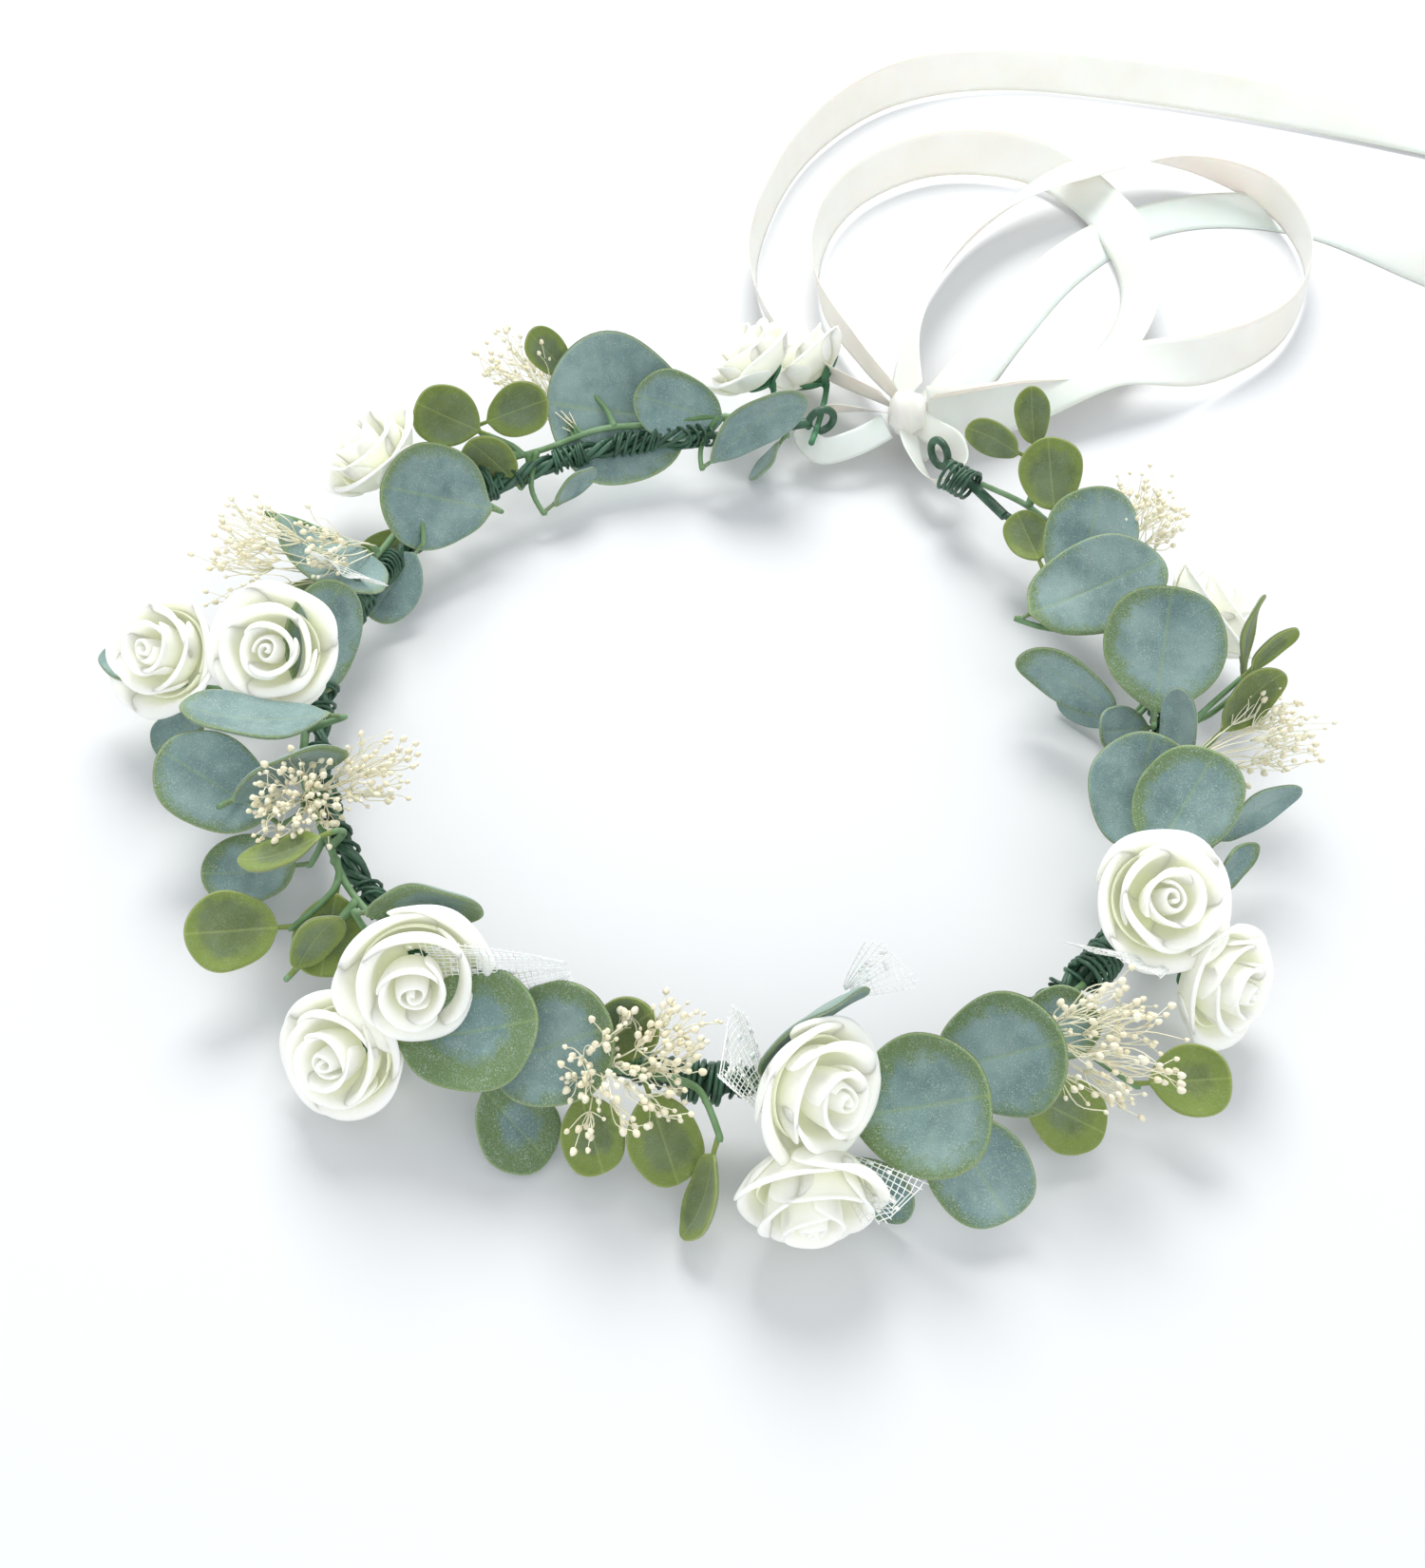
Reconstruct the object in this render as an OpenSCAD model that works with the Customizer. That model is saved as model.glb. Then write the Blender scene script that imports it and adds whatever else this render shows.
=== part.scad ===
// Flower crown: a ring of covered wire with seven sprigs of foam roses, round leaves, dried
// sprays and net, open at the back and closed there by a ribbon bow.
// Millimetres. The origin is the centre of the ring on the surface that the crown lies on.
// +Z is up through the head opening, and the gap for the bow is on the +Y side.

/* [Ring] */
// Radius of the ring, to the middle of its wire
hoop_radius = 94; // [90:1:98]
// Height of the wire's middle above the table
hoop_height = 14; // [13:0.5:16]
// Diameter of the covered core wire
core_wire = 2; // [1.6:0.1:2.6]
// Diameter of the thin wire that winds round the core
winding_wire = 1.2; // [0.8:0.1:1.4]
// Number of turns of the winding wire
winding_turns = 36; // [24:1:44]
// Angle of the open gap at the back
gap_angle = 46; // [40:1:52]
// Length of each straight end of the wire
end_length = 26; // [20:1:30]
// Outside diameter of the eye at each end
eye_size = 9; // [7:0.5:11]
// Diameter of the doubled and twisted wire of each straight end
end_wire = 2.6; // [2.4:0.1:3]

/* [Flowers] */
// Diameter of a rose that is drawn at full size
rose_size = 25; // [22:0.5:27]
// Diameter of a bead at the tip of a spray's stalk
bead_size = 2; // [1.4:0.1:2.4]
// Diameter of a spray's stalk
stalk_size = 0.5; // [0.4:0.05:0.7]

/* [Leaves] */
// Thickness of a leaf
leaf_thick = 0.9; // [0.7:0.1:1.2]
// Length of the short stalk that is moulded with each leaf
leaf_stalk = 3.5; // [3:0.5:5]
// Diameter of a leaf's own stalk
twig_size = 1.2; // [1:0.1:1.6]
// Diameter of the main stem of a sprig
stem_size = 1.8; // [1.4:0.1:2.2]

/* [Trim] */
// Thickness of the gathered net
net_thick = 0.3; // [0.2:0.05:0.5]
// Width of the ribbon
ribbon_width = 14; // [10:1:16]
// Thickness of the ribbon
ribbon_thick = 0.5; // [0.4:0.1:0.8]

/* [Hidden] */
$fn = 48;

// Colours
wire_green = [0.10, 0.24, 0.16];
blue_green = [0.47, 0.63, 0.60];
olive = [0.45, 0.55, 0.25];
stem_green = [0.30, 0.45, 0.30];
ivory = [0.97, 0.96, 0.90];
cream = [0.90, 0.84, 0.68];
net_white = [0.95, 0.96, 0.94];
ribbon_white = [0.96, 0.96, 0.92];

// Where the ring's arc starts and how far it runs, counter-clockwise
arc_start = 90 + gap_angle / 2;
arc_sweep = 360 - gap_angle;
// The straight ends turn out from the ring by this angle
end_flare = 15;
// The sprigs' stems lie just outside and above the core wire
stem_out = 3;
stem_rise = 3;

// Each sprig's stem runs from its roses to its tip: [start angle, end angle]
STEMS = [[250, 281], [294, 332], [340, 382], [394, 432], [472, 512], [520, 540], [559, 600]];

// Leaves and tips: [angle, out from the ring, height, turn out from the ring's direction,
// lift, roll, length, width], all for the middle of the blade
LEAVES = [
    [[260, 9, 21, -30, 20, 25, 27, 23], [268, 4, 20, -30, 25, 30, 26, 22],
        [266, 15, 5.2, 10, -40, 15, 18, 16], [248, -2, 33, -35, 20, 95, 23, 14]],
    [[307, 12, 21, 25, 35, 30, 28, 26], [317, 8, 22, 30, 35, 32, 25, 23],
        [311, 21, 10, 70, -30, 30, 22, 19], [302, 18, 5.8, 40, -20, 60, 17, 11],
        [326, 6, 17, 5, 30, 20, 15, 14], [295, -3, 32, -15, 50, 110, 28, 12]],
    [[2, -8, 21, -5, 28, 0, 26, 22], [0, 1, 25, 15, 30, 5, 25, 21],
        [12, -1, 26, -5, 60, -60, 20, 11], [18, -11, 14, -110, 10, -40, 14, 11],
        [6, 17, 18, 50, 30, 75, 19, 10], [0, 15, 11, 25, 12, 60, 14, 8]],
    [[26, -2, 28, 12, 42, -12, 28, 26], [41, -2, 24, 55, 35, 10, 23, 19],
        [51, 1, 23, 45, 35, -5, 26, 22], [28, -20, 16, -50, 10, -75, 26, 12],
        [38, -20, 21, -70, 16, -100, 20, 7], [29, -13, 4, -35, -10, -60, 15, 8]],
    [[124, 15, 24, 30, 35, -50, 31, 24], [121, 5, 20, 5, 20, -55, 24, 18],
        [134, 7, 18, 45, 35, -20, 27, 19], [109, -1, 20, 160, 35, 95, 29, 17],
        [140, -5, 10, 165, 15, 100, 15, 9], [106, 0, 4.8, -45, -45, 40, 12, 9]],
    [[164, 1, 22, 30, 30, -57, 30, 25], [178, 15, 20, 70, 15, -10, 27, 14],
        [181, 3, 20, -90, -5, 100, 18, 9], [176, -1, 9, 15, -30, -35, 19, 14]],
    [[196, 2, 23, -170, 35, 60, 27, 20], [211, 12, 25, 95, 8, 15, 30, 15],
        [216, 21, 18, 130, 18, -25, 25, 20], [224, 18, 7, 115, -15, -20, 20, 16],
        [219, 6, 27, -85, 25, 105, 26, 12], [203, 32, 5.2, 75, -35, -50, 14, 10],
        [199, 44, 15, 110, 10, 0, 12, 8]],
];
TIPS = [
    [[274, 13, 9, 50, -40, 10, 15, 12], [281, 11, 10, 55, -40, 10, 17, 14],
        [275, -3, 22, -30, 42, 35, 15, 12], [286, 21, 9, 105, -45, 50, 17, 10]],
    [[333, 29, 13, 48, 20, 30, 15, 14], [322, 18, 8, 42, -28, 35, 18, 14]],
    [[19, 15, 26, 55, 45, 60, 18, 11], [25, 14, 34, 8, 62, 60, 19, 8],
        [23, 19, 34, 60, 35, 75, 14, 6]],
    [[63, 7, 27, 30, 45, -20, 18, 15], [70, 14, 34, 33, 55, -20, 14, 9],
        [73, 7, 28, -10, 10, -75, 15, 9], [60, -3, 15, 20, 15, -30, 14, 11]],
    [[144, 9, 26, -150, 25, 60, 17, 13], [153, 17, 26, 42, 28, -50, 17, 15],
        [151, 4, 20, 40, 50, -80, 16, 12], [137, 21, 31, 35, 45, -40, 15, 10]],
    [[184, 13, 10, 55, -25, -30, 16, 12], [170, 7, 8, 40, -25, -40, 16, 11]],
    [[233, 27, 16, 110, 8, -35, 17, 16], [237, 11, 11, 45, -30, -20, 16, 14],
        [240, 15, 22, -80, 50, 75, 15, 9], [230, 13, 24, 100, -10, 15, 17, 9]],
];

// Roses: [angle, out, height of the middle, way it leans (0 is outward, 90 is along the
// ring), lean from upright, spin, size against a full rose]
ROSES = [
    [[253, 10, 28, 45, 58, 10, 1.05], [250, 25, 14, 12, 52, 40, 0.95]],
    [[296, 10, 29, 40, 58, 25, 1.0], [295, 23, 14, 0, 92, 60, 1.0]],
    [[343, 5, 29, -53, 32, 0, 1.0], [343, 23, 16, -8, 62, 50, 0.95]],
    [[36, 20, 20, 0, 50, 20, 1.0]],
    [[110, 23, 22, 70, 45, 30, 0.95], [103, 36, 14, 60, 55, 70, 0.9]],
    [[163, 23, 23, 40, 35, 15, 1.0]],
    [[201, 9, 27, 88, 42, 0, 1.0], [199.5, 34, 22, 55, 42, 50, 1.0]],
];

// Sprays: [angle of the root, angle of the head, out, height, radius of the head, stalks]
SPRAYS = [
    [[271, 276, 7, 20, 12, 18], [276, 281, -1, 25, 7, 8]],
    [[320, 327, 17, 21, 12, 20]],
    [[12, 17, 22, 19, 10, 16]],
    [[46, 51, 18, 25, 9, 14]],
    [[136, 142, 22, 27, 9, 12]],
    [[180, 186, 24, 25, 12, 16], [174, 184, 9, 26, 8, 8]],
    [[220, 225, 7, 25, 9, 18], [220, 225, -12, 27, 7, 8]],
];

// Net: [angle, out, height, way it points (0 outward, 90 along the ring), lift, roll,
// length, spread]
NETS = [
    [[251, 14, 17, 190, 40, 60, 28, 60], [255, -4, 23, 120, 25, 50, 20, 26]],
    [[293, 10, 14, 230, 30, 40, 24, 70], [297, -4, 24, 130, 50, 50, 24, 24],
        [299, 16, 12, 30, 0, 0, 15, 50]],
    [[340, 10, 18, 250, 20, 30, 20, 60]],
    [],
    [],
    [[181, 6, 18, 120, 30, -30, 20, 50]],
    [],
];

// The ribbon's middle line: [x, y, height of its lower edge, tilt of its width from flat]
KNOT = [4, 114, 15];
WRAPS = [
    [[2, 116, 10, 30], [-8, 113, 10, 45], [-17, 108, 10, 60], [-21, 101, 8, 60],
        [-14, 97, 6, 50], [-6, 102, 8, 40], [0, 110, 10, 30]],
    [[6, 116, 10, 30], [12, 112, 10, 45], [19, 108, 10, 60], [22, 102, 8, 60],
        [17, 97, 6, 50], [10, 103, 8, 40], [6, 110, 10, 30]],
];
LOOP_LEFT = [[1, 119, 9, 60], [-16, 138, 5, 70], [-37, 166, 2, 75], [-46, 198, 2, 75],
    [-42, 230, 2, 75], [-24, 256, 2, 75], [4, 266, 2, 60], [30, 254, 2, 30],
    [46, 224, 2, 60], [52, 196, 2, 40], [45, 166, 2, 30], [25, 138, 5, 60], [8, 119, 9, 60]];
LOOP_RIGHT = [[9, 117, 8, 60], [27, 132, 6, 50], [50, 160, 11, 10], [76, 180, 4, 60],
    [94, 210, 2, 80], [96, 248, 2, 80], [80, 278, 2, 75], [50, 282, 6, 45],
    [22, 262, 11, 10], [2, 228, 4, 50], [-6, 190, 2, 70], [-5, 150, 4, 70], [2, 120, 8, 60]];
TAIL_LEFT = [[-2, 116, 10, 50], [-34, 134, 4, 60], [-58, 168, 1, 75], [-67, 212, 1, 80],
    [-65, 256, 1, 80], [-50, 296, 1, 75], [-20, 324, 1, 60], [30, 338, 1, 60],
    [84, 346, 1, 50], [140, 350, 1, 30], [190, 352, 1, 10]];
TAIL_RIGHT = [[6, 112, 3, 30], [11, 140, 1, 18], [17, 180, 0, 11], [26, 220, 0, 16],
    [42, 254, 0, 10], [66, 274, 0, 18], [98, 280, 0, 30], [134, 266, 0, 60], [176, 254, 0, 60],
    [212, 248, 0, 30]];
spline_steps = 5;

// Places and directions

function polar(angle, radius, height) =
    [radius * cos(angle), radius * sin(angle), height];

// Unit vector of a leaf that turns out from the ring's direction and lifts
function heading(angle, turn, lift) =
    [cos(lift) * cos(angle + 90 - turn), cos(lift) * sin(angle + 90 - turn), sin(lift)];

function stem_point(angle) =
    polar(angle, hoop_radius + stem_out, hoop_height + stem_rise);

function clamp_to(value, low, high) = min(max(value, low), high);

// Angle of a point round the ring, as the nearest turn to a known angle
function angle_near(point, angle) =
    let (a = atan2(point[1], point[0])) a + 360 * round((angle - a) / 360);

// Point on a smooth curve through the points of a route
function smooth(a, b, c, d, t) =
    0.5 * (2 * b + (c - a) * t + (2 * a - 5 * b + 4 * c - d) * t * t
        + (3 * b - a - 3 * c + d) * t * t * t);

function smooth_route(route) =
    let (last = len(route) - 1) [
        for (i = [0:last - 1])
            for (k = [0:spline_steps - 1])
                smooth(route[max(i - 1, 0)], route[i], route[i + 1],
                    route[min(i + 2, last)], k / spline_steps),
        route[last],
    ];

// Straight six-sided bar between two points, for thin stalks and twigs
module bar(from, to, radius) {
    run = to - from;
    translate(from)
        rotate([0, acos(run[2] / norm(run)), atan2(run[1], run[0])])
            cylinder(h = norm(run), r = radius, $fn = 6);
}

// Point on the way from one point to another, at a distance from the first
function on_the_way(from, to, distance) =
    from + (to - from) / norm(to - from) * distance;

// Puts its children on the ring, with +X outward and +Y along the ring
module on_ring(angle, out, height) {
    rotate([0, 0, angle])
        translate([hoop_radius + out, 0, height])
            children();
}

// Ring wire

// Straight end and eye, for the end that faces +Y at angle 0
module wire_end() {
    overlap = 1.5;
    rotate([0, 0, -end_flare]) {
        translate([0, -overlap, 0])
            rotate([-90, 0, 0])
                cylinder(h = end_length + overlap - eye_size / 2 + core_wire / 2, d = end_wire);
        translate([0, end_length, 0])
            rotate([0, 90, 0])
                rotate_extrude()
                    translate([(eye_size - core_wire) / 2, 0])
                        circle(d = core_wire);
    }
}

module hoop_wire() {
    color(wire_green)
        translate([0, 0, hoop_height]) {
            rotate([0, 0, arc_start])
                rotate_extrude(angle = arc_sweep)
                    translate([hoop_radius, 0])
                        circle(d = core_wire);
            rotate([0, 0, arc_start + arc_sweep])
                translate([hoop_radius, 0, 0])
                    wire_end();
            rotate([0, 0, arc_start])
                mirror([0, 1, 0])
                    translate([hoop_radius, 0, 0])
                        wire_end();
        }
}

// Thin wire wound round the core, as a helix that follows the ring
winding_sides = 6;
winding_steps = winding_turns * 8;
winding_reach = (core_wire + winding_wire) / 2 + 0.1;
function winding_point(step, side) =
    let (
        ring_angle = arc_start + 1 + (arc_sweep - 2) * step / winding_steps,
        turn_angle = 360 * winding_turns * step / winding_steps,
        side_angle = 360 * side / winding_sides,
        out = winding_reach * cos(turn_angle) + winding_wire / 2 * cos(side_angle),
        up = winding_reach * sin(turn_angle) + winding_wire / 2 * sin(side_angle)
    )
    polar(ring_angle, hoop_radius + out, hoop_height + up);

// Closed tube from rings of points that all have the same number of sides
module tube(rings, sides) {
    last = len(rings) - 1;
    points = [for (ring = rings) for (p = ring) p];
    skin = [
        for (i = [0:last - 1])
            for (j = [0:sides - 1])
                let (
                    here = i * sides + j,
                    beside = i * sides + (j + 1) % sides,
                    ahead = here + sides,
                    across = beside + sides
                )
                each [[here, beside, across], [here, across, ahead]],
    ];
    near_end = [for (j = [0:sides - 1]) sides - 1 - j];
    far_end = [for (j = [0:sides - 1]) last * sides + j];
    polyhedron(points = points, faces = concat(skin, [near_end, far_end]), convexity = 6);
}

module hoop_winding() {
    color(wire_green)
        tube(
            [for (i = [0:winding_steps]) [for (j = [0:winding_sides - 1]) winding_point(i, j)]],
            winding_sides
        );
}

// Close turns of wire that bind each sprig's stem to the ring
module hoop_binding() {
    turns = 5;
    pitch = 1.2;
    color(wire_green)
        for (stem = STEMS)
            for (i = [0:turns - 1])
                on_ring(stem[1] + 1 + pitch * i, stem_out / 2, hoop_height + stem_rise / 2)
                    rotate([90, 0, 0])
                        rotate_extrude()
                            translate([core_wire / 2 + winding_wire + 2.2, 0])
                                circle(d = 1, $fn = 16);
}

// Leaves

// Outline of a round leaf: narrow at its stalk and widest past its middle
outline_points = 24;
function leaf_outline(length, width) = [
    for (i = [0:outline_points - 1])
        let (a = 360 * i / outline_points)
        [length / 2 * cos(a), width / 2 * sin(a) * (1 + 0.12 * cos(a))],
];

// Radius of the sphere that a blade is dished across, and the rise of the blade's ends
function dish_radius(length) = 1.4 * length;
function dish_rise(length) =
    dish_radius(length) - sqrt(pow(dish_radius(length), 2) - length * length / 4);

// Dished blade with a short stalk of its own
module blade(length, width) {
    dish = dish_radius(length);
    stalk_start = 1 - length / 2;
    translate([stalk_start, 0, dish_rise(length - 2)])
        rotate([0, -90, 0])
            cylinder(h = leaf_stalk + 1, d = twig_size, $fn = 6);
    intersection() {
        translate([0, 0, dish])
            difference() {
                sphere(r = dish + leaf_thick / 2);
                sphere(r = dish - leaf_thick / 2);
            }
        translate([0, 0, -length / 4])
            linear_extrude(height = length / 2)
                polygon(leaf_outline(length, width));
    }
}

module place_leaf(leaf) {
    on_ring(leaf[0], leaf[1], leaf[2])
        rotate([0, 0, 90 - leaf[3]])
            rotate([0, -leaf[4], 0])
                rotate([leaf[5], 0, 0])
                    children();
}

module leaf_set(leaves, tint) {
    color(tint)
        for (leaf = leaves)
            place_leaf(leaf)
                blade(leaf[6], leaf[7]);
}

// Point where a leaf's stalk meets its twig
function leaf_base(leaf) =
    let (
        away = heading(leaf[0], leaf[3], leaf[4]),
        side = [-sin(leaf[0] + 90 - leaf[3]), cos(leaf[0] + 90 - leaf[3]), 0],
        up = cross(away, side),
        rolled_up = cos(leaf[5]) * up - sin(leaf[5]) * side
    )
    polar(leaf[0], hoop_radius + leaf[1], leaf[2])
        - away * (leaf[6] / 2 + leaf_stalk) + rolled_up * dish_rise(leaf[6] - 2);

// Sprig stem with a twig to each of its leaves, and a cuff where each spray is tied
skin_gap = 0.15;
module sprig_stem(index) {
    stem = STEMS[index];
    color(stem_green) {
        rotate([0, 0, stem[0]])
            rotate_extrude(angle = stem[1] - stem[0])
                translate([hoop_radius + stem_out, hoop_height + stem_rise])
                    circle(d = stem_size);
        for (leaf = concat(LEAVES[index], TIPS[index])) {
            base = leaf_base(leaf);
            seat = clamp_to(angle_near(base, stem[0]) - 3, stem[0] + 1, stem[1] - 1);
            from = on_the_way(stem_point(seat), base, stem_size / 2 + skin_gap);
            bar(from, base, twig_size / 2);
        }
        for (head = SPRAYS[index]) {
            from = on_the_way(stem_point(head[0]), spray_middle(head), stem_size / 2 + skin_gap);
            bar(from, spray_tie(head), tie_size / 2);
        }
    }
}

// Roses

petal_thick = 0.9;
// Layers of petals: [number, start angle, middle and radius of the rounded outline,
// middle line from base to rim]
PETALS = [
    [5, 0, -4.2, 8, [[2.5, -8], [7.5, -6], [10.2, -2.5], [11.4, 0.8], [12.5, 2.6]]],
    [4, 20, -1, 7.6, [[2, -7.2], [5.8, -4.6], [7.6, -0.5], [8.5, 3.4], [9.8, 5.6]]],
    [3, 55, 1.6, 6.6, [[1.5, -6.5], [4, -3.4], [5.1, 1.5], [5.5, 5.4], [6.3, 7.4]]],
];
HEART = [[0, -7], [2.6, -4], [3.5, 1], [3.3, 5], [2.1, 8], [0, 9]];
rose_base = -8;

// Strip of even thickness along a line
function strip(line) =
    let (last = len(line) - 1)
    concat(line, [for (i = [0:last]) line[last - i] + [-petal_thick, 0.35 * petal_thick]]);

module petal_layer(layer) {
    count = layer[0];
    span = 360 / count - 3;
    for (i = [0:count - 1])
        rotate([0, 0, layer[1] + 360 * i / count])
            intersection() {
                rotate([0, 0, -span / 2])
                    rotate_extrude(angle = span)
                        polygon(strip(layer[4]));
                translate([0, 0, layer[2]])
                    rotate([0, 90, 0])
                        cylinder(h = rose_size, r = layer[3]);
            }
}

module rose_shape() {
    for (layer = PETALS)
        petal_layer(layer);
    rotate_extrude()
        polygon(HEART);
    translate([0, 0, rose_base])
        cylinder(h = 3, r1 = 3, r2 = 4);
}

module place_rose(rose) {
    on_ring(rose[0], rose[1], rose[2])
        rotate([0, 0, rose[3]])
            rotate([0, rose[4], 0])
                rotate([0, 0, rose[5]])
                    scale(rose[6] * rose_size / 25)
                        children();
}

module rose(index, which) {
    color(ivory)
        place_rose(ROSES[index][which])
            rose_shape();
}

// Green cup under a rose, and its wire stem down to the sprig
calyx_height = 3.5;
function calyx_foot(rose) =
    let (
        lean_way = rose[0] + rose[3],
        axis = [sin(rose[4]) * cos(lean_way), sin(rose[4]) * sin(lean_way), cos(rose[4])]
    )
    polar(rose[0], hoop_radius + rose[1], rose[2])
        + axis * (rose_base - calyx_height + 0.5) * rose[6] * rose_size / 25;

module calyx_set(index) {
    stem = STEMS[index];
    color(stem_green)
        for (rose = ROSES[index]) {
            place_rose(rose)
                translate([0, 0, rose_base - calyx_height])
                    cylinder(h = calyx_height, r1 = 1, r2 = 3.6);
            foot = calyx_foot(rose);
            seat = clamp_to(angle_near(foot, stem[0]), stem[0] - 3, stem[1]);
            ring_point = polar(seat, hoop_radius + stem_out, hoop_height);
            bar(on_the_way(ring_point, foot, stem_size), foot, 0.8);
        }
}

// Sprays

// Directions spread evenly over a ball, but for its underside
golden_turn = 137.5;
function spread(i, count) =
    let (z = 1 - 1.35 * (i + 0.5) / count, r = sqrt(1 - z * z))
    [r * cos(golden_turn * i), r * sin(golden_turn * i), z];

// Where the stalks of a spray are tied, a little way from the stem towards the head
tie_size = 3.6;
tie_reach = 3.5;
function spray_middle(head) = polar(head[1], hoop_radius + head[2], head[3]);
function spray_tie(head) = on_the_way(stem_point(head[0]), spray_middle(head), tie_reach);

module spray(head) {
    stalk_spread = 1.5;
    for (i = [0:head[5] - 1]) {
        way = spread(i, head[5]);
        reach = head[4] * (0.65 + 0.35 * abs(sin(77 * i)));
        tip = spray_middle(head) + way * reach;
        bar(spray_tie(head) + way * stalk_spread, tip, stalk_size / 2);
        translate(tip)
            sphere(d = bead_size, $fn = 8);
    }
}

module spray_set(index) {
    color(cream)
        for (head = SPRAYS[index])
            spray(head);
}

// Net, gathered at one point and fanned out as part of a cone
module net_fan(length, spread_angle) {
    gather = 2;
    stub = 4;
    rise = 0.25 * length;
    translate([gather + 0.5, 0, net_thick])
        rotate([0, -90, 0])
            cylinder(h = stub, r = 0.9, $fn = 6);
    rotate([0, 0, -spread_angle / 2])
        rotate_extrude(angle = spread_angle)
            polygon([[gather, 0], [length, rise], [length, rise + net_thick], [gather, net_thick]]);
}

module net_set(index) {
    color(net_white)
        for (net = NETS[index])
            on_ring(net[0], net[1], net[2])
                rotate([0, 0, net[3]])
                    rotate([0, -net[4], 0])
                        rotate([net[5], 0, 0])
                            net_fan(net[6], net[7]);
}

// Ribbon

// Corners of the ribbon's section at one point of its route
function ribbon_section(here, next, width) =
    let (
        run = [next[0] - here[0], next[1] - here[1], 0],
        side = [-run[1], run[0], 0] / norm(run),
        tilt = here[3],
        across = side * cos(tilt) + [0, 0, sin(tilt)],
        face = side * -sin(tilt) + [0, 0, cos(tilt)],
        rise = here[2] + width / 2 * abs(sin(tilt)) + ribbon_thick / 2,
        middle = [here[0], here[1], rise],
        w = across * width / 2,
        t = face * ribbon_thick / 2
    )
    [middle + w + t, middle - w + t, middle - w - t, middle + w - t];

module ribbon(route, width) {
    line = smooth_route(route);
    last = len(line) - 1;
    rings = [
        for (i = [0:last])
            i < last
                ? ribbon_section(line[i], line[i + 1], width)
                : ribbon_section(line[i], 2 * line[i] - line[i - 1], width),
    ];
    color(ribbon_white)
        tube(rings, 4);
}

module ribbon_wraps() {
    for (route = WRAPS)
        ribbon(route, ribbon_width * 0.5);
}

// The bow's knot is a short band that wraps the crossing
module ribbon_knot() {
    band = 9;
    color(ribbon_white)
        translate(KNOT)
            rotate([0, 90, 20])
                rotate_extrude()
                    polygon([[0, -band / 2], [4.5, -band / 2], [6, -band / 4],
                        [6, band / 4], [4.5, band / 2], [0, band / 2]]);
}

hoop_wire();
hoop_winding();
hoop_binding();
sprig_stem(0);  // sprig_1_stem
sprig_stem(1);  // sprig_2_stem
sprig_stem(2);  // sprig_3_stem
sprig_stem(3);  // sprig_4_stem
sprig_stem(4);  // sprig_5_stem
sprig_stem(5);  // sprig_6_stem
sprig_stem(6);  // sprig_7_stem
leaf_set(LEAVES[0], blue_green);  // sprig_1_leaves
leaf_set(LEAVES[1], blue_green);  // sprig_2_leaves
leaf_set(LEAVES[2], blue_green);  // sprig_3_leaves
leaf_set(LEAVES[3], blue_green);  // sprig_4_leaves
leaf_set(LEAVES[4], blue_green);  // sprig_5_leaves
leaf_set(LEAVES[5], blue_green);  // sprig_6_leaves
leaf_set(LEAVES[6], blue_green);  // sprig_7_leaves
leaf_set(TIPS[0], olive);  // sprig_1_tips
leaf_set(TIPS[1], olive);  // sprig_2_tips
leaf_set(TIPS[2], olive);  // sprig_3_tips
leaf_set(TIPS[3], olive);  // sprig_4_tips
leaf_set(TIPS[4], olive);  // sprig_5_tips
leaf_set(TIPS[5], olive);  // sprig_6_tips
leaf_set(TIPS[6], olive);  // sprig_7_tips
calyx_set(0);  // sprig_1_calyx
calyx_set(1);  // sprig_2_calyx
calyx_set(2);  // sprig_3_calyx
calyx_set(3);  // sprig_4_calyx
calyx_set(4);  // sprig_5_calyx
calyx_set(5);  // sprig_6_calyx
calyx_set(6);  // sprig_7_calyx
spray_set(0);  // sprig_1_spray
spray_set(1);  // sprig_2_spray
spray_set(2);  // sprig_3_spray
spray_set(3);  // sprig_4_spray
spray_set(4);  // sprig_5_spray
spray_set(5);  // sprig_6_spray
spray_set(6);  // sprig_7_spray
rose(0, 0);  // rose_1a
rose(0, 1);  // rose_1b
rose(1, 0);  // rose_2a
rose(1, 1);  // rose_2b
rose(2, 0);  // rose_3a
rose(2, 1);  // rose_3b
rose(3, 0);  // rose_4a
rose(4, 0);  // rose_5a
rose(4, 1);  // rose_5b
rose(5, 0);  // rose_6a
rose(6, 0);  // rose_7a
rose(6, 1);  // rose_7b
net_set(0);  // net_1
net_set(1);  // net_2
net_set(2);  // net_3
net_set(5);  // net_6
ribbon_knot();
ribbon_wraps();
ribbon(LOOP_LEFT, ribbon_width);  // ribbon_loop_left
ribbon(LOOP_RIGHT, ribbon_width);  // ribbon_loop_right
ribbon(TAIL_LEFT, ribbon_width);  // ribbon_tail_left
ribbon(TAIL_RIGHT, ribbon_width);  // ribbon_tail_right
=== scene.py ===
"""Looks of the flower crown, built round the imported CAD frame. Lengths are in metres."""

import math
import random

import bpy
import numpy as np
from mathutils import Matrix, Vector


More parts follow.
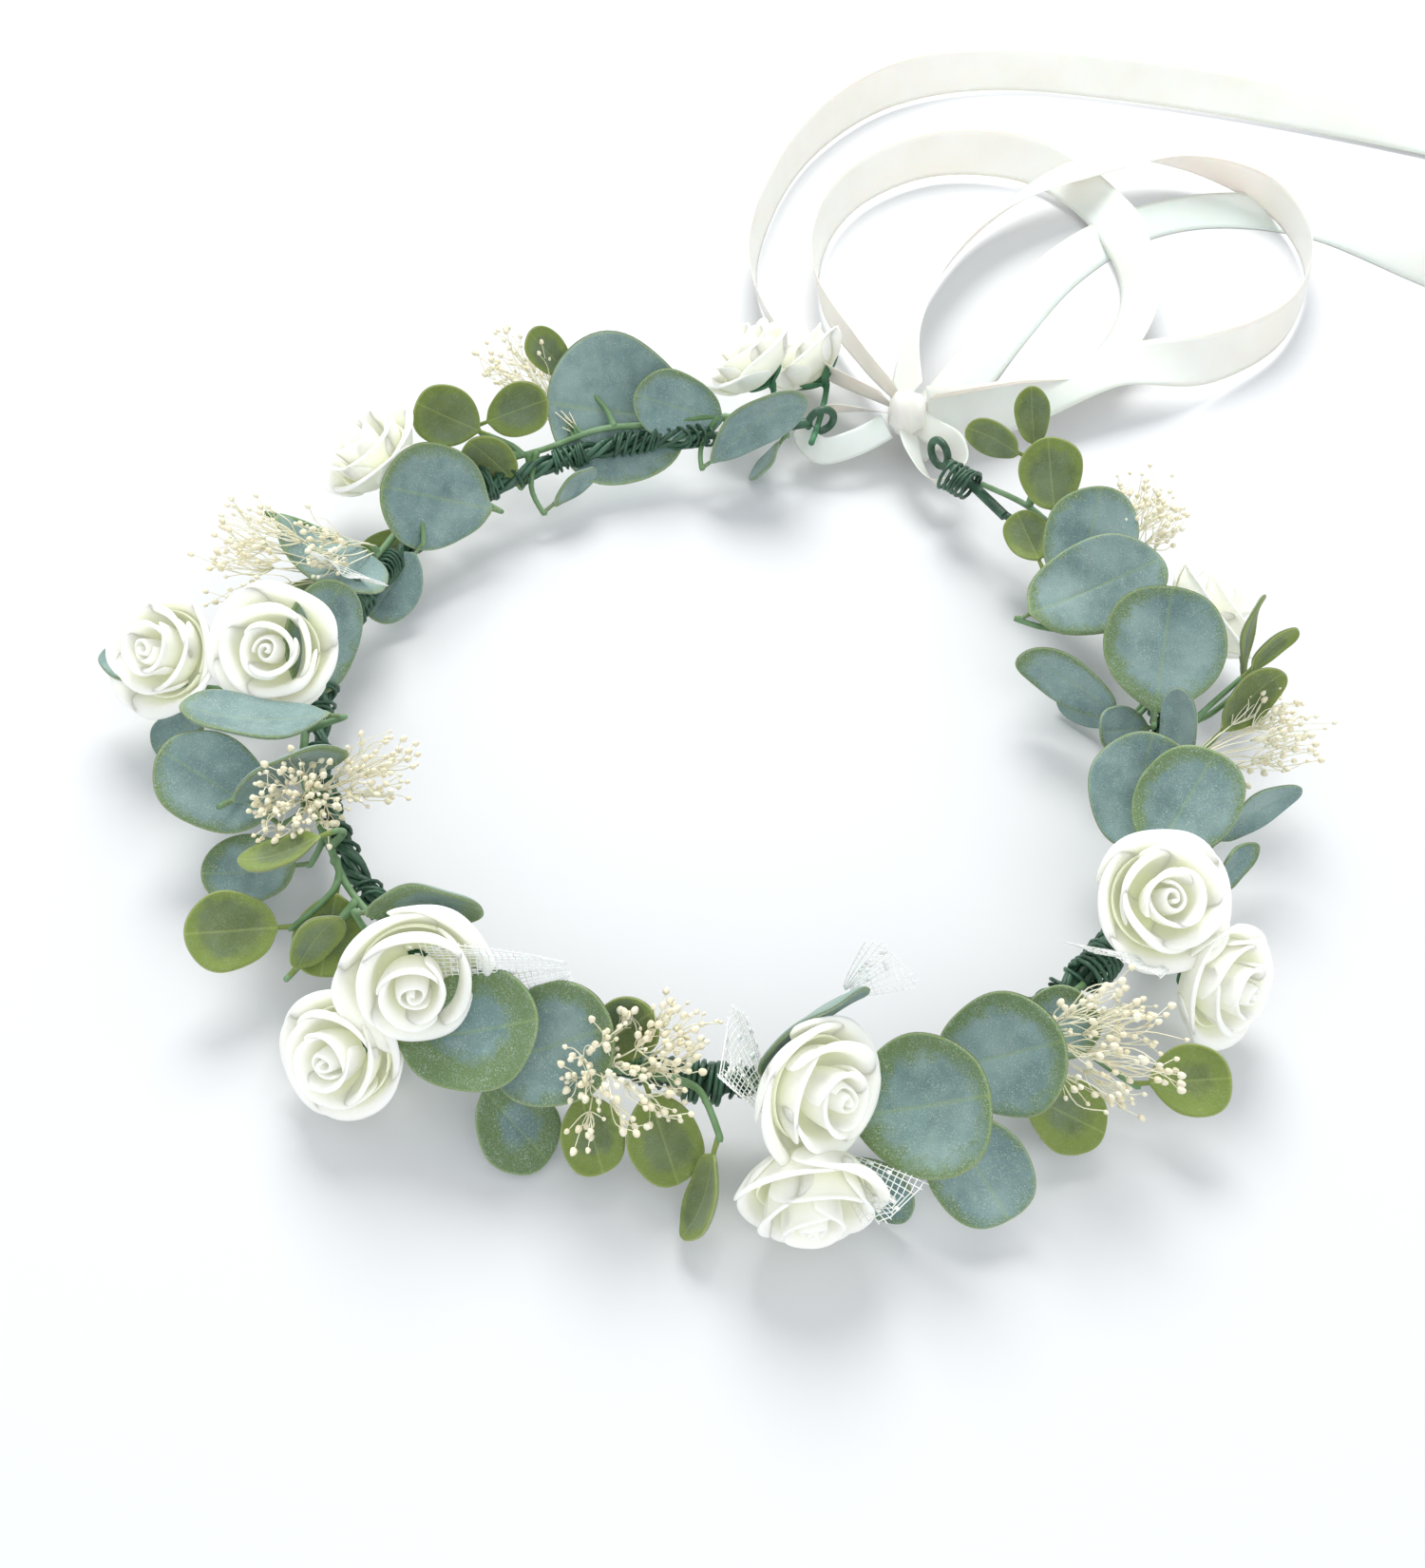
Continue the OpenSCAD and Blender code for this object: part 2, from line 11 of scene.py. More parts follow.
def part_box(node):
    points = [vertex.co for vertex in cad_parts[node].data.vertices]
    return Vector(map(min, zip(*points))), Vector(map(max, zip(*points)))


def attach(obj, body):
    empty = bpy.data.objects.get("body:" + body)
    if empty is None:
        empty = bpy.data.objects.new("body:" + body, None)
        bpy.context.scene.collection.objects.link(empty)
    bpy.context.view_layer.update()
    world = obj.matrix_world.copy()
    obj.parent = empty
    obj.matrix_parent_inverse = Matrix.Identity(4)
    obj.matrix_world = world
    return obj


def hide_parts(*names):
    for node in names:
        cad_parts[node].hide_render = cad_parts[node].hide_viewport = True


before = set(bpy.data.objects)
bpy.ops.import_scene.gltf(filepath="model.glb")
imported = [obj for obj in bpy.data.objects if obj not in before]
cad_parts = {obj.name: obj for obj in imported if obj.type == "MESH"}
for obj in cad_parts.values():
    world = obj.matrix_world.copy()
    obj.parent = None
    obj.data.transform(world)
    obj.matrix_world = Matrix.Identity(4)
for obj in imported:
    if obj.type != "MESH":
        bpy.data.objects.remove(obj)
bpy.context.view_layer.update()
MM = 0.001
BODY = "root"
SPRIGS = range(1, 8)
# First seed of each kind of piece, so that one kind can change without the others
SEEDS = {"leaves": 100, "tips": 200, "rose": 300, "calyx": 400, "spray": 500, "net": 600,
         "stem": 700, "winding": 41, "binding": 43}

# ---------------------------------------------------------------- small tools


def unit(v):
    return v / np.linalg.norm(v)


def any_phase(rng):
    """A random phase for a wave, of a whole turn and a little over."""
    return rng.uniform(0, 6.3)


def spoke(side, other, turn):
    """Unit vector at an angle between two square directions."""
    return math.cos(turn) * side + math.sin(turn) * other


def round_crown(angle, radius, height):
    """Point at an angle round the crown's upright axis."""
    return np.array([radius * math.cos(angle), radius * math.sin(angle), height])


def across_of(along):
    """Two unit vectors square to a direction."""
    helper = np.array([0.0, 0, 1]) if abs(along[2]) < 0.9 else np.array([1.0, 0, 0])
    side = unit(np.cross(helper, along))
    return side, np.cross(along, side)


class Build:
    """Collects points, faces and per-point values, and makes one mesh object of them."""

    def __init__(self):
        self.points, self.faces, self.values, self.count = [], [], {}, 0

    def add(self, points, faces, **values):
        points = np.asarray(points, float)
        self.faces += [tuple(i + self.count for i in face) for face in faces]
        for name in set(self.values) | set(values):
            got = values.get(name, 0.0)
            got = np.full(len(points), got) if np.isscalar(got) else np.asarray(got)
            kept = self.values.setdefault(name, [np.zeros(self.count)])
            kept.append(got)
        self.points.append(points)
        self.count += len(points)

    def make(self, node, material):
        """The smooth mesh object that replaces a CAD node."""
        name = node + "_look"
        mesh = bpy.data.meshes.new(name)
        mesh.from_pydata(np.vstack(self.points).tolist(), [], self.faces)
        for key, parts in self.values.items():
            layer = mesh.attributes.new(key, "FLOAT", "POINT")
            layer.data.foreach_set("value", np.concatenate(parts).astype(np.float32))
        mesh.polygons.foreach_set("use_smooth", [True] * len(mesh.polygons))
        mesh.validate()
        mesh.update()
        piece = bpy.data.objects.new(name, mesh)
        bpy.context.scene.collection.objects.link(piece)
        piece.data.materials.append(material)
        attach(piece, BODY)
        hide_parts(node)
        return piece


def grid_faces(rows, columns, wrap=False):
    """Quads between the points of a grid, row by row."""
    faces = []
    for i in range(rows - 1):
        for j in range(columns if wrap else columns - 1):
            a, b = i * columns + j, i * columns + (j + 1) % columns
            faces.append((a, b, b + columns, a + columns))
    return faces


def tube(path, radii, sides):
    """Points and faces of a closed tube along a path, with a radius at each point."""
    path = np.asarray(path, float)
    radii = np.full(len(path), radii) if np.isscalar(radii) else np.asarray(radii)
    runs = np.gradient(path, axis=0)
    side, _ = across_of(unit(runs[0]))
    points = []
    for here, run, radius in zip(path, runs, radii):
        run = unit(run)
        side = unit(side - run * (side @ run))
        other = np.cross(run, side)
        for k in range(sides):
            points.append(here + radius * spoke(side, other, 2 * math.pi * k / sides))
    faces = grid_faces(len(path), sides, wrap=True)
    last = (len(path) - 1) * sides
    faces.append(tuple(reversed(range(sides))))
    faces.append(tuple(range(last, last + sides)))
    return np.array(points), faces


def curve_between(points, steps):
    """Smooth curve through a few points, with steps points in each stretch."""
    points = np.asarray(points, float)
    last = len(points) - 1
    found = []
    for i in range(last):
        a, b = points[max(i - 1, 0)], points[i]
        c, d = points[i + 1], points[min(i + 2, last)]
        for t in np.arange(steps) / steps:
            found.append(
                0.5 * (2 * b + (c - a) * t + (2 * a - 5 * b + 4 * c - d) * t**2
                       + (3 * b - a - 3 * c + d) * t**3)
            )
    found.append(points[last])
    return np.array(found)


# Points of a CAD mesh that agree to a micrometre are one point
MERGE_DIGITS = 6
# How far round a leaf's foot and tip the points are averaged, and how far past its stalk its
# blade starts
FOOT_NEAR, TIP_NEAR, BLADE_START = 1.3 * MM, 0.9 * MM, 1 * MM


def islands(node):
    """The separate solids of a CAD node, each as an array of its points."""
    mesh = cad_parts[node].data
    points = np.empty(len(mesh.vertices) * 3)
    mesh.vertices.foreach_get("co", points)
    merged, index = np.unique(np.round(points.reshape(-1, 3), MERGE_DIGITS), axis=0,
                              return_inverse=True)
    index = index.ravel()
    edges = np.empty(len(mesh.edges) * 2, np.int64)
    mesh.edges.foreach_get("vertices", edges)
    a, b = index[edges.reshape(-1, 2)].T
    label = np.arange(len(merged))
    while True:
        low = np.minimum(label[a], label[b])
        new = label.copy()
        np.minimum.at(new, a, low)
        np.minimum.at(new, b, low)
        new = new[new]
        if (new == label).all():
            break
        label = new
    return [merged[label == k] for k in np.unique(label)]


def farthest(points, start, near):
    """Middle of the points near the one that is farthest from start."""
    reach = np.linalg.norm(points - start, axis=1)
    end = points[reach.argmax()]
    return points[np.linalg.norm(points - end, axis=1) < near].mean(0)


def blade_frame(points, stalk):
    """Frame and size of a thin blade whose stalk ends at its farthest point."""
    foot = farthest(points, points.mean(0), FOOT_NEAR)
    tip = farthest(points, foot, TIP_NEAR)
    along = unit(tip - foot)
    rest = (points - foot) - np.outer((points - foot) @ along, along)
    blade = rest[(points - foot) @ along > stalk + BLADE_START]
    spread = np.linalg.svd(blade - blade.mean(0), full_matrices=False)[2]
    side = unit(spread[0] - along * (spread[0] @ along))
    face = np.cross(along, side)
    if (blade @ face).mean() > 0:
        face, side = -face, -side
    wide = blade @ side
    length = np.linalg.norm(tip - foot) - stalk
    return {"foot": foot, "along": along, "side": side, "face": face, "length": length,
            "width": wide.max() - wide.min(), "stalk": stalk}


# ---------------------------------------------------------------- materials


# Sockets of the Mix node when it mixes colours
MIX_SHARE, MIX_A, MIX_B, MIX_RESULT = 0, 6, 7, 2


class Shader:
    """A node material, with short calls for the nodes that it needs."""

    def __init__(self, name, roughness=0.6, **sockets):
        self.material = bpy.data.materials.new(name)
        self.material.use_nodes = True
        self.nodes, self.links = self.material.node_tree.nodes, self.material.node_tree.links
        self.surface = self.nodes["Principled BSDF"]
        self.surface.inputs["Roughness"].default_value = roughness
        for key, value in sockets.items():
            self.surface.inputs[key.replace("_", " ")].default_value = value

    def node(self, kind, inputs=(), **settings):
        made = self.nodes.new(kind)
        for key, value in settings.items():
            setattr(made, key, value)
        for key, value in dict(inputs).items():
            if isinstance(value, bpy.types.NodeSocket):
                self.links.new(value, made.inputs[key])
            else:
                made.inputs[key].default_value = value
        return made

    def value(self, name):
        """A value that the mesh carries at each point."""
        return self.node("ShaderNodeAttribute", attribute_name=name).outputs["Fac"]

    def place(self):
        return self.node("ShaderNodeTexCoord").outputs["Object"]

    def noise(self, scale, detail=3, roughness=0.5):
        inputs = {"Vector": self.place(), "Scale": scale, "Detail": detail,
                  "Roughness": roughness}
        return self.node("ShaderNodeTexNoise", inputs).outputs["Fac"]

    def cells(self, scale, feature="F1"):
        inputs = {"Vector": self.place(), "Scale": scale}
        return self.node("ShaderNodeTexVoronoi", inputs, feature=feature).outputs["Distance"]

    def fit(self, value, low, high, out_low=0.0, out_high=1.0):
        """A value taken from one range to another, and held at its ends."""
        inputs = {"Value": value, "From Min": low, "From Max": high, "To Min": out_low,
                  "To Max": out_high}
        return self.node("ShaderNodeMapRange", inputs).outputs["Result"]

    def math(self, operation, a, b=0.0):
        return self.node("ShaderNodeMath", {0: a, 1: b}, operation=operation).outputs[0]

    def mix(self, share, a, b):
        made = self.node("ShaderNodeMix", data_type="RGBA")
        for index, value in ((MIX_SHARE, share), (MIX_A, a), (MIX_B, b)):
            socket = made.inputs[index]
            if isinstance(value, bpy.types.NodeSocket):
                self.links.new(value, socket)
            elif isinstance(value, tuple):
                socket.default_value = (*value, 1)
            else:
                socket.default_value = value
        return made.outputs[MIX_RESULT]

    def bump(self, height, distance, strength=1.0, under=None):
        inputs = {"Height": height, "Distance": distance, "Strength": strength}
        if under is not None:
            inputs["Normal"] = under
        return self.node("ShaderNodeBump", inputs).outputs["Normal"]

    def wire(self, **sockets):
        """Links outputs to the surface's sockets and gives back the finished material."""
        for key, socket in sockets.items():
            self.links.new(socket, self.surface.inputs[key.replace("_", " ")])
        return self.material


def leaf_material(name, middle, deep, rim, edge, back, frosting):
    """Soft plastic leaf with a frosted middle, a greener rim and a pale edge line."""
    s = Shader(name, roughness=0.62, Specular_IOR_Level=0.35, Subsurface_Weight=0.08,
               Subsurface_Scale=0.002, Sheen_Weight=0.18, Sheen_Roughness=0.5)
    from_middle = s.value("rim")
    tone = s.value("tone")
    patches = s.noise(130, 3)
    soft = s.noise(420, 4, 0.6)
    grains = s.noise(3600, 2, 0.7)
    dust = s.fit(grains, 0.5, 0.66)
    broad = s.mix(s.fit(patches, 0.35, 0.68), middle, deep)
    # The green of the rim runs unevenly into the middle, more on some leaves than on others
    reach = s.math("ADD", from_middle, s.fit(soft, 0.3, 0.7, -0.12, 0.12))
    reach = s.math("ADD", reach, s.fit(tone, 0, 1, -0.16, 0.62))
    reach = s.math("ADD", reach, s.fit(s.value("lean"), -1, 1, -0.12, 0.16))
    frost = s.fit(s.noise(70, 3, 0.6), 0.42, 0.70, 0, 0.55 * frosting)
    broad = s.mix(frost, broad, (0.36, 0.48, 0.45))
    colour = s.mix(s.fit(reach, 0.78, 1.02, 0, 0.92), broad, rim)
    colour = s.mix(s.fit(from_middle, 0.95, 0.99, 0, 0.6), colour, edge)
    dusty = s.math("MULTIPLY", dust, s.fit(soft, 0.35, 0.65, 0.2 * frosting, 0.75 * frosting))
    colour = s.mix(dusty, colour, (0.46, 0.56, 0.52))
    rib = s.math("ABSOLUTE", s.value("across"))
    colour = s.mix(s.fit(rib, 0.010, 0.045, 0.30, 0.0), colour, edge)
    # Side veins run from the midrib to the rim, slanted forward
    slant = s.math("SUBTRACT", s.value("length"), s.math("MULTIPLY", rib, 0.55))
    veins = s.math("ABSOLUTE", s.math("SINE", s.math("MULTIPLY", slant, 13.0)))
    colour = s.mix(s.fit(veins, 0.0, 0.10, 0.16, 0.0), colour, edge)
    colour = s.mix(s.fit(s.value("top"), 0.0, 1.0, 0.75, 0.0), colour, back)
    height = s.bump(grains, 0.00012, 0.5)
    height = s.bump(soft, 0.0004, 0.35, height)
    return s.wire(Base_Color=colour, Normal=height,
                  Roughness=s.fit(grains, 0.3, 0.7, 0.5, 0.75))


# Stands for the light that comes through the thin petals from behind
FOAM_GLOW = 0.07


def foam_material():
    """Ivory foam, yellower and darker deep between the petals, partly its own tint and partly
    painted shade, with a very fine cell grain.
    """
    s = Shader("foam", roughness=0.7, Specular_IOR_Level=0.25, Subsurface_Weight=0.8,
               Subsurface_Scale=0.002, Sheen_Weight=0.1, Emission_Strength=FOAM_GLOW)
    s.surface.inputs["Emission Color"].default_value = (0.98, 1.0, 0.86, 1)
    s.surface.inputs["Subsurface Radius"].default_value = (1.0, 1.0, 0.85)
    up = s.value("up")
    shade = s.noise(160, 3)
    light = s.mix(s.fit(shade, 0.3, 0.7), (0.945, 0.945, 0.875), (0.92, 0.92, 0.83))
    # Painted shade: low on the petals and in the cup the colour turns darker and yellower, partly
    # the foam's own tint and partly painted shade in the recesses
    colour = s.mix(s.fit(up, 0.2, 0.75), (0.88, 0.91, 0.68), light)
    grain = s.cells(5200)
    height = s.bump(grain, 0.00006, 0.35)
    height = s.bump(s.noise(900, 3), 0.00012, 0.3, height)
    return s.wire(Base_Color=colour, Normal=height)


def spray_material():
    """Dried stalks and seed heads: cream, browner in places."""
    s = Shader("dried_spray", roughness=0.85, Specular_IOR_Level=0.2, Subsurface_Weight=0.1,
               Subsurface_Scale=0.001)
    patch = s.noise(240, 3)
    bead = s.mix(s.fit(patch, 0.35, 0.7), (0.84, 0.77, 0.55), (0.90, 0.87, 0.72))
    stalk = s.mix(s.fit(patch, 0.3, 0.7), (0.80, 0.75, 0.52), (0.88, 0.86, 0.72))
    colour = s.mix(s.value("bead"), stalk, bead)
    return s.wire(Base_Color=colour, Normal=s.bump(s.noise(2800, 3), 0.0001, 0.6))


def wire_material():
    """Dark green covered wire: fine windings of tape, worn lighter in places."""
    s = Shader("covered_wire", roughness=0.42, Specular_IOR_Level=0.5)
    patch = s.noise(220, 4)
    colour = s.mix(s.fit(patch, 0.35, 0.7), (0.018, 0.06, 0.032), (0.06, 0.15, 0.09))
    fibres = s.noise(1800, 2)
    return s.wire(Base_Color=colour, Normal=s.bump(fibres, 0.00025, 0.7))


def stem_material():
    """Moulded green stems, paler and greyer in patches."""
    s = Shader("moulded_stem", roughness=0.55, Specular_IOR_Level=0.4, Subsurface_Weight=0.05,
               Subsurface_Scale=0.001)
    colour = s.mix(s.fit(s.noise(150, 3), 0.3, 0.7), (0.10, 0.20, 0.07), (0.22, 0.36, 0.20))
    return s.wire(Base_Color=colour, Normal=s.bump(s.noise(900, 3), 0.0002, 0.5))


def sepal_material():
    """Dark green woven calyx: a fine square weave."""
    s = Shader("woven_calyx", roughness=0.7, Specular_IOR_Level=0.3)
    weave = s.cells(2300, "DISTANCE_TO_EDGE")
    base = s.mix(s.fit(s.noise(200, 2), 0.3, 0.7), (0.02, 0.10, 0.045), (0.06, 0.20, 0.10))
    colour = s.mix(s.fit(weave, 0.0, 0.25), (0.10, 0.26, 0.14), base)
    return s.wire(Base_Color=colour, Normal=s.bump(weave, 0.0001, 0.6))


def net_material():
    """White nylon thread."""
    s = Shader("nylon_net", roughness=0.45, Specular_IOR_Level=0.5, Subsurface_Weight=0.1,
               Subsurface_Scale=0.0005)
    colour = s.mix(s.fit(s.noise(600, 2), 0.3, 0.7), (0.86, 0.88, 0.86), (0.95, 0.96, 0.94))
    return s.wire(Base_Color=colour, Normal=s.bump(s.noise(5000, 2), 0.00005, 0.4))


def ribbon_material():
    """Thin ivory satin ribbon: fine weft across its width, a denser selvedge."""
    s = Shader("satin_ribbon", roughness=0.42, Specular_IOR_Level=0.45, Sheen_Weight=0.3,
               Subsurface_Weight=0.3, Subsurface_Scale=0.003)
    run, across = s.value("run"), s.value("across")
    weft = s.math("SINE", s.math("MULTIPLY", run, 9000.0))
    warp = s.math("SINE", s.math("MULTIPLY", across, 150.0))
    weave = s.math("MULTIPLY", weft, warp)
    shade = s.noise(60, 3)
    colour = s.mix(s.fit(shade, 0.35, 0.65), (0.91, 0.90, 0.82), (0.95, 0.945, 0.88))
    edge = s.fit(s.math("ABSOLUTE", across), 0.88, 0.96)
    colour = s.mix(edge, colour, (0.83, 0.82, 0.72))
    see_through = s.fit(edge, 0, 1, 0.74, 0.97)
    return s.wire(Base_Color=colour, Normal=s.bump(weave, 0.00005, 0.4), Alpha=see_through)


LEAF_BLUE = leaf_material("leaf_blue", (0.18, 0.29, 0.28), (0.115, 0.20, 0.195),
                          (0.125, 0.20, 0.06), (0.30, 0.41, 0.16), (0.30, 0.42, 0.37), 1.0)
LEAF_OLIVE = leaf_material("leaf_olive", (0.15, 0.20, 0.055), (0.095, 0.14, 0.045),
                           (0.19, 0.26, 0.045), (0.40, 0.47, 0.16), (0.24, 0.32, 0.19), 0.35)
FOAM = foam_material()
SPRAY = spray_material()
WIRE = wire_material()
STEM = stem_material()
SEPAL = sepal_material()
NET = net_material()
RIBBON = ribbon_material()

# ---------------------------------------------------------------- leaves

LEAF_STALK = 3.5 * MM
LEAF_RINGS = np.array([0.0, 0.12, 0.25, 0.38, 0.5, 0.62, 0.73, 0.83, 0.9, 0.95, 0.98, 1.0])
LEAF_SIDES = 56
LEAF_HALF_THICK = 0.42 * MM
# Radius of the bowl that a leaf is bent to, in leaf lengths
LEAF_DISH = 1.4
MIDRIB_HALF = 0.45 * MM
# Depth of the midrib's groove on top and of the same line below
MIDRIB_TOP, MIDRIB_BACK = -0.16 * MM, -0.22 * MM
STALK_FOOT, STALK_END = 0.6, 0.3


def leaf(build, at, rng, tone):
    """A dished blade with a thick soft rim, a shallow midrib and a stalk."""
    half_long, half_wide = at["length"] / 2, at["width"] / 2
    dish = LEAF_DISH * at["length"]
    turn = 2 * math.pi * np.arange(LEAF_SIDES) / LEAF_SIDES
    phase = [any_phase(rng) for _ in range(4)]
    # The outline wanders a little and runs out to a small point at the stalk
    outline = 1 + 0.03 * np.sin(2 * turn + phase[0]) + 0.014 * np.sin(5 * turn + phase[1])
    spur = 0.05 * np.exp(-((turn - math.pi) / 0.16) ** 2)
    rings, top = [], []
    for side in (1, -1):
        for r in LEAF_RINGS if side > 0 else LEAF_RINGS[::-1]:
            x = half_long * np.cos(turn) * (outline + spur) * r
            y = half_wide * np.sin(turn) * (1 + 0.12 * np.cos(turn)) * outline * r
            z = dish - np.sqrt(dish**2 - x**2 - y**2)
            # Slow waves that grow toward the rim, and sides that rise a little
            z += 0.016 * at["length"] * r**3 * np.sin(3 * turn + phase[2])
            z += 0.010 * at["length"] * r**4 * np.sin(5 * turn + phase[3])
            z += 0.03 * np.abs(y)
            groove = np.exp(-((y / MIDRIB_HALF) ** 2)) * (x < 0.7 * half_long)
            depth = MIDRIB_TOP if side > 0 else MIDRIB_BACK
            z += depth * groove * min(1, 1.2 * (1 - r) + 0.25)
            # The blade closes at its rim, past a slightly thicker band
            edge = math.sqrt(max(0.0, 1 - max(0.0, (r - 0.92) / 0.08) ** 2))
            body = 1 + 0.25 * math.exp(-(((r - 0.93) / 0.05) ** 2))
            z += side * LEAF_HALF_THICK * edge * body
            rings.append(np.stack([x, y, z], 1))
            top.append(np.full(LEAF_SIDES, 0.5 + 0.5 * side))
    local = np.vstack(rings)
    greener = np.array([math.cos(phase[3]), math.sin(phase[3]), 0])
    r_of = np.repeat(np.concatenate([LEAF_RINGS, LEAF_RINGS[::-1]]), LEAF_SIDES)
    middle = at["foot"] + at["along"] * (at["stalk"] + half_long) - at["face"] * (
        dish - math.sqrt(dish**2 - (half_long - MM) ** 2))
    axes = np.stack([at["along"], at["side"], at["face"]])
    world = middle + local @ axes
    build.add(world, grid_faces(len(rings), LEAF_SIDES, wrap=True), rim=r_of,
              lean=local @ (greener / half_long), across=local[:, 1] / half_wide,
              length=local[:, 0] / half_long, top=np.concatenate(top), tone=tone)
    joint = middle + np.array([-0.55 * half_long, 0, 0.2 * MM]) @ axes
    rim_point = middle + np.array([-0.97 * half_long, 0, 0]) @ axes + at["face"] * (
        dish - math.sqrt(dish**2 - half_long**2) - 0.45 * MM)
    path = curve_between([at["foot"], rim_point, joint - at["face"] * 0.3 * MM], 5)
    points, faces = tube(path, np.linspace(STALK_FOOT, STALK_END, len(path)) * MM, 8)
    build.add(points, faces, rim=0.9, lean=0.0, length=0.1, across=0.5, top=1.0, tone=0.6)


def leaf_frames(node):
    """Frames of a node's leaves, in order round the crown."""
    frames = [blade_frame(points, LEAF_STALK) for points in islands(node)]
    return sorted(frames, key=lambda f: math.atan2(f["foot"][1], f["foot"][0]))


def make_leaves(node, material, seed, tones):
    """The leaves of one node, each with its own tone."""
    rng = random.Random(seed)
    build = Build()
    for at in leaf_frames(node):
        leaf(build, at, rng, rng.uniform(*tones))
    build.make(node, material)


# ---------------------------------------------------------------- stems

# How far round the foot of a spray's stalk the points are averaged
STALK_NEAR = 0.7 * MM
# First and last angle of each sprig's stem round the ring, as in the CAD source
STEM_ARCS = {1: (250, 281), 2: (294, 332), 3: (340, 382), 4: (394, 432), 5: (472, 512),
             6: (520, 540), 7: (559, 600)}
STEM_RADIUS, STEM_HEIGHT = 97 * MM, 17 * MM
STEM_STEPS = 40
# How many degrees before its leaf a twig leaves the stem
TWIG_BACK = 3


def make_stem(number):
    """The stem along the ring, a bent twig to each leaf and a bunch of stalks to each spray."""
    rng = random.Random(SEEDS["stem"] + number)
    build = Build()
    first, last = STEM_ARCS[number]

    def on_stem(angle):
        wave = 0.5 * MM * math.sin(0.35 * angle + number)
        return round_crown(math.radians(angle), STEM_RADIUS + wave, STEM_HEIGHT + 0.5 * wave)

    def nearest(place, back):
        angle = math.degrees(math.atan2(place[1], place[0]))
        middle = (first + last) / 2
        angle += 360 * round((middle - angle) / 360)
        return on_stem(min(max(angle - back, first), last))

    path = [on_stem(angle) for angle in np.linspace(first, last, STEM_STEPS)]
    build.add(*tube(path, np.linspace(1.0, 0.7, STEM_STEPS) * MM, 10))
    for node in (f"sprig_{number}_leaves", f"sprig_{number}_tips"):
        for at in leaf_frames(node):
            root = nearest(at["foot"], TWIG_BACK)
            apart = np.linalg.norm(at["foot"] - root)
            bend = (root + at["foot"]) / 2 - at["along"] * 0.18 * apart
            bend += np.array([0, 0, rng.uniform(0, 0.12) * apart])
            end = at["foot"] + at["along"] * 0.8 * MM
            path = curve_between([root, bend, at["foot"], end], 5)
            shares = np.linspace(0, 1, len(path))
            radii = np.interp(shares, [0, 0.12, 0.3, 1], [1.15, 0.9, 0.68, 0.6]) * MM
            build.add(*tube(path, radii, 8))
    for points in islands(f"sprig_{number}_spray"):
        start = farthest(points, points.mean(0), STALK_NEAR)
        root = nearest(start, rng.uniform(0, 1))
        path = curve_between([root, (root + start) / 2, start], 3)
        build.add(*tube(path, np.linspace(0.6, 0.32, len(path)) * MM, 6))
    build.make(f"sprig_{number}_stem", STEM)


# ---------------------------------------------------------------- roses

# Height of a rose's flat base and of its heart's tip, in millimetres of a full rose
ROSE_BASE, ROSE_TIP = -8, 9
# Points this close to an end's height belong to that end
END_NEAR = 0.05 * MM
HEART_THICK, CUP_THICK, PETAL_THICK = 0.8, 0.6, 0.85
# Layers of petals, in millimetres of a full rose: number, first angle, share of the circle
# that a petal takes, its middle line from base to rim, how far its sides droop, its lip
ROSE_LAYERS = [
    (3, 20, 0.50, [(1.8, -5), (4.0, -2), (4.9, 2.4), (5.0, 5.6), (5.6, 7.4)], 0.30, 1.0),
    (4, 65, 0.41, [(2.4, -6.6), (6.6, -4), (8.3, 0), (8.9, 3.4), (10.3, 5.0)], 0.42, 1.4),
    (4, 20, 0.42, [(2.6, -7.6), (8.2, -5.8), (11.2, -2.4), (12.6, 0.4), (14.4, 1.2)], 0.50, 1.5),
]


def rose_frame(node):
    """Middle, axis and size of a rose, from its heart's pointed tip and its flat base."""
    points = islands(node)[0]
    middle = points.mean(0)
    spread = np.linalg.svd(points - middle, full_matrices=False)[2]
    axis = spread[2]
    height = (points - middle) @ axis
    radial = np.linalg.norm((points - middle) - np.outer(height, axis), axis=1)
    high, low = height > height.max() - END_NEAR, height < height.min() + END_NEAR
    if radial[high].mean() > radial[low].mean():
        axis, height = -axis, -height
        high = low
    tip = points[high].mean(0)
    size = (height.max() - height.min()) / (ROSE_TIP - ROSE_BASE)
    side, other = across_of(axis)
    return {"middle": tip - axis * ROSE_TIP * size, "axis": axis, "side": side,
            "other": other, "size": size}


def petal(line, centre, half, droop, lip, rng, rows=12, columns=17):
    """Points of one petal: broad and cupped, its rim rolled outward and softly pointed."""
    line = curve_between([(r, z, 0) for r, z in line], 4)
    steps = np.linspace(0, 1, len(line))
    s = np.linspace(-1, 1, columns)
    wave, shift = any_phase(rng), rng.uniform(-0.4, 0.4)
    tall = rng.uniform(-0.10, 0.05)
    tilt = rng.uniform(-0.5, 0.5)
    points, up = [], []
    for t in np.linspace(0, 1, rows):
        reach = t * (1 + tall - droop * np.abs(s + 0.12 * shift * (1 - s**2)) ** 2.4)
        radius = np.interp(reach, steps, line[:, 0])
        height = np.interp(reach, steps, line[:, 1])
        # The rim rolls outward, most at a fold off the petal's middle
        curl = np.clip((reach - 0.62) / 0.38, 0, 1) ** 2
        fold = np.exp(-(((s - shift) / 0.55) ** 2))
        radius = radius + lip * curl * (0.25 + 0.7 * fold) + 0.55 * s * (0.4 + 0.6 * t)
        height = height - lip * curl * (0.2 + 0.5 * fold) + 0.35 * t**2 * np.sin(2.4 * s + wave)
        height = height + tilt * t * s
        # The middle of the petal is drawn in, so that it is flatter than its circle
        flat = 1 - 0.10 * t * np.cos(math.pi * s)
        angle = centre + half * s * (0.50 + 0.50 * math.sin(min(1, 1.25 * t) * math.pi / 2))
        points.append(np.stack([flat * radius * np.cos(angle), flat * radius * np.sin(angle),
                                height], 1))
        up.append(np.full(columns, t))
    return np.vstack(points), np.concatenate(up), rows, columns


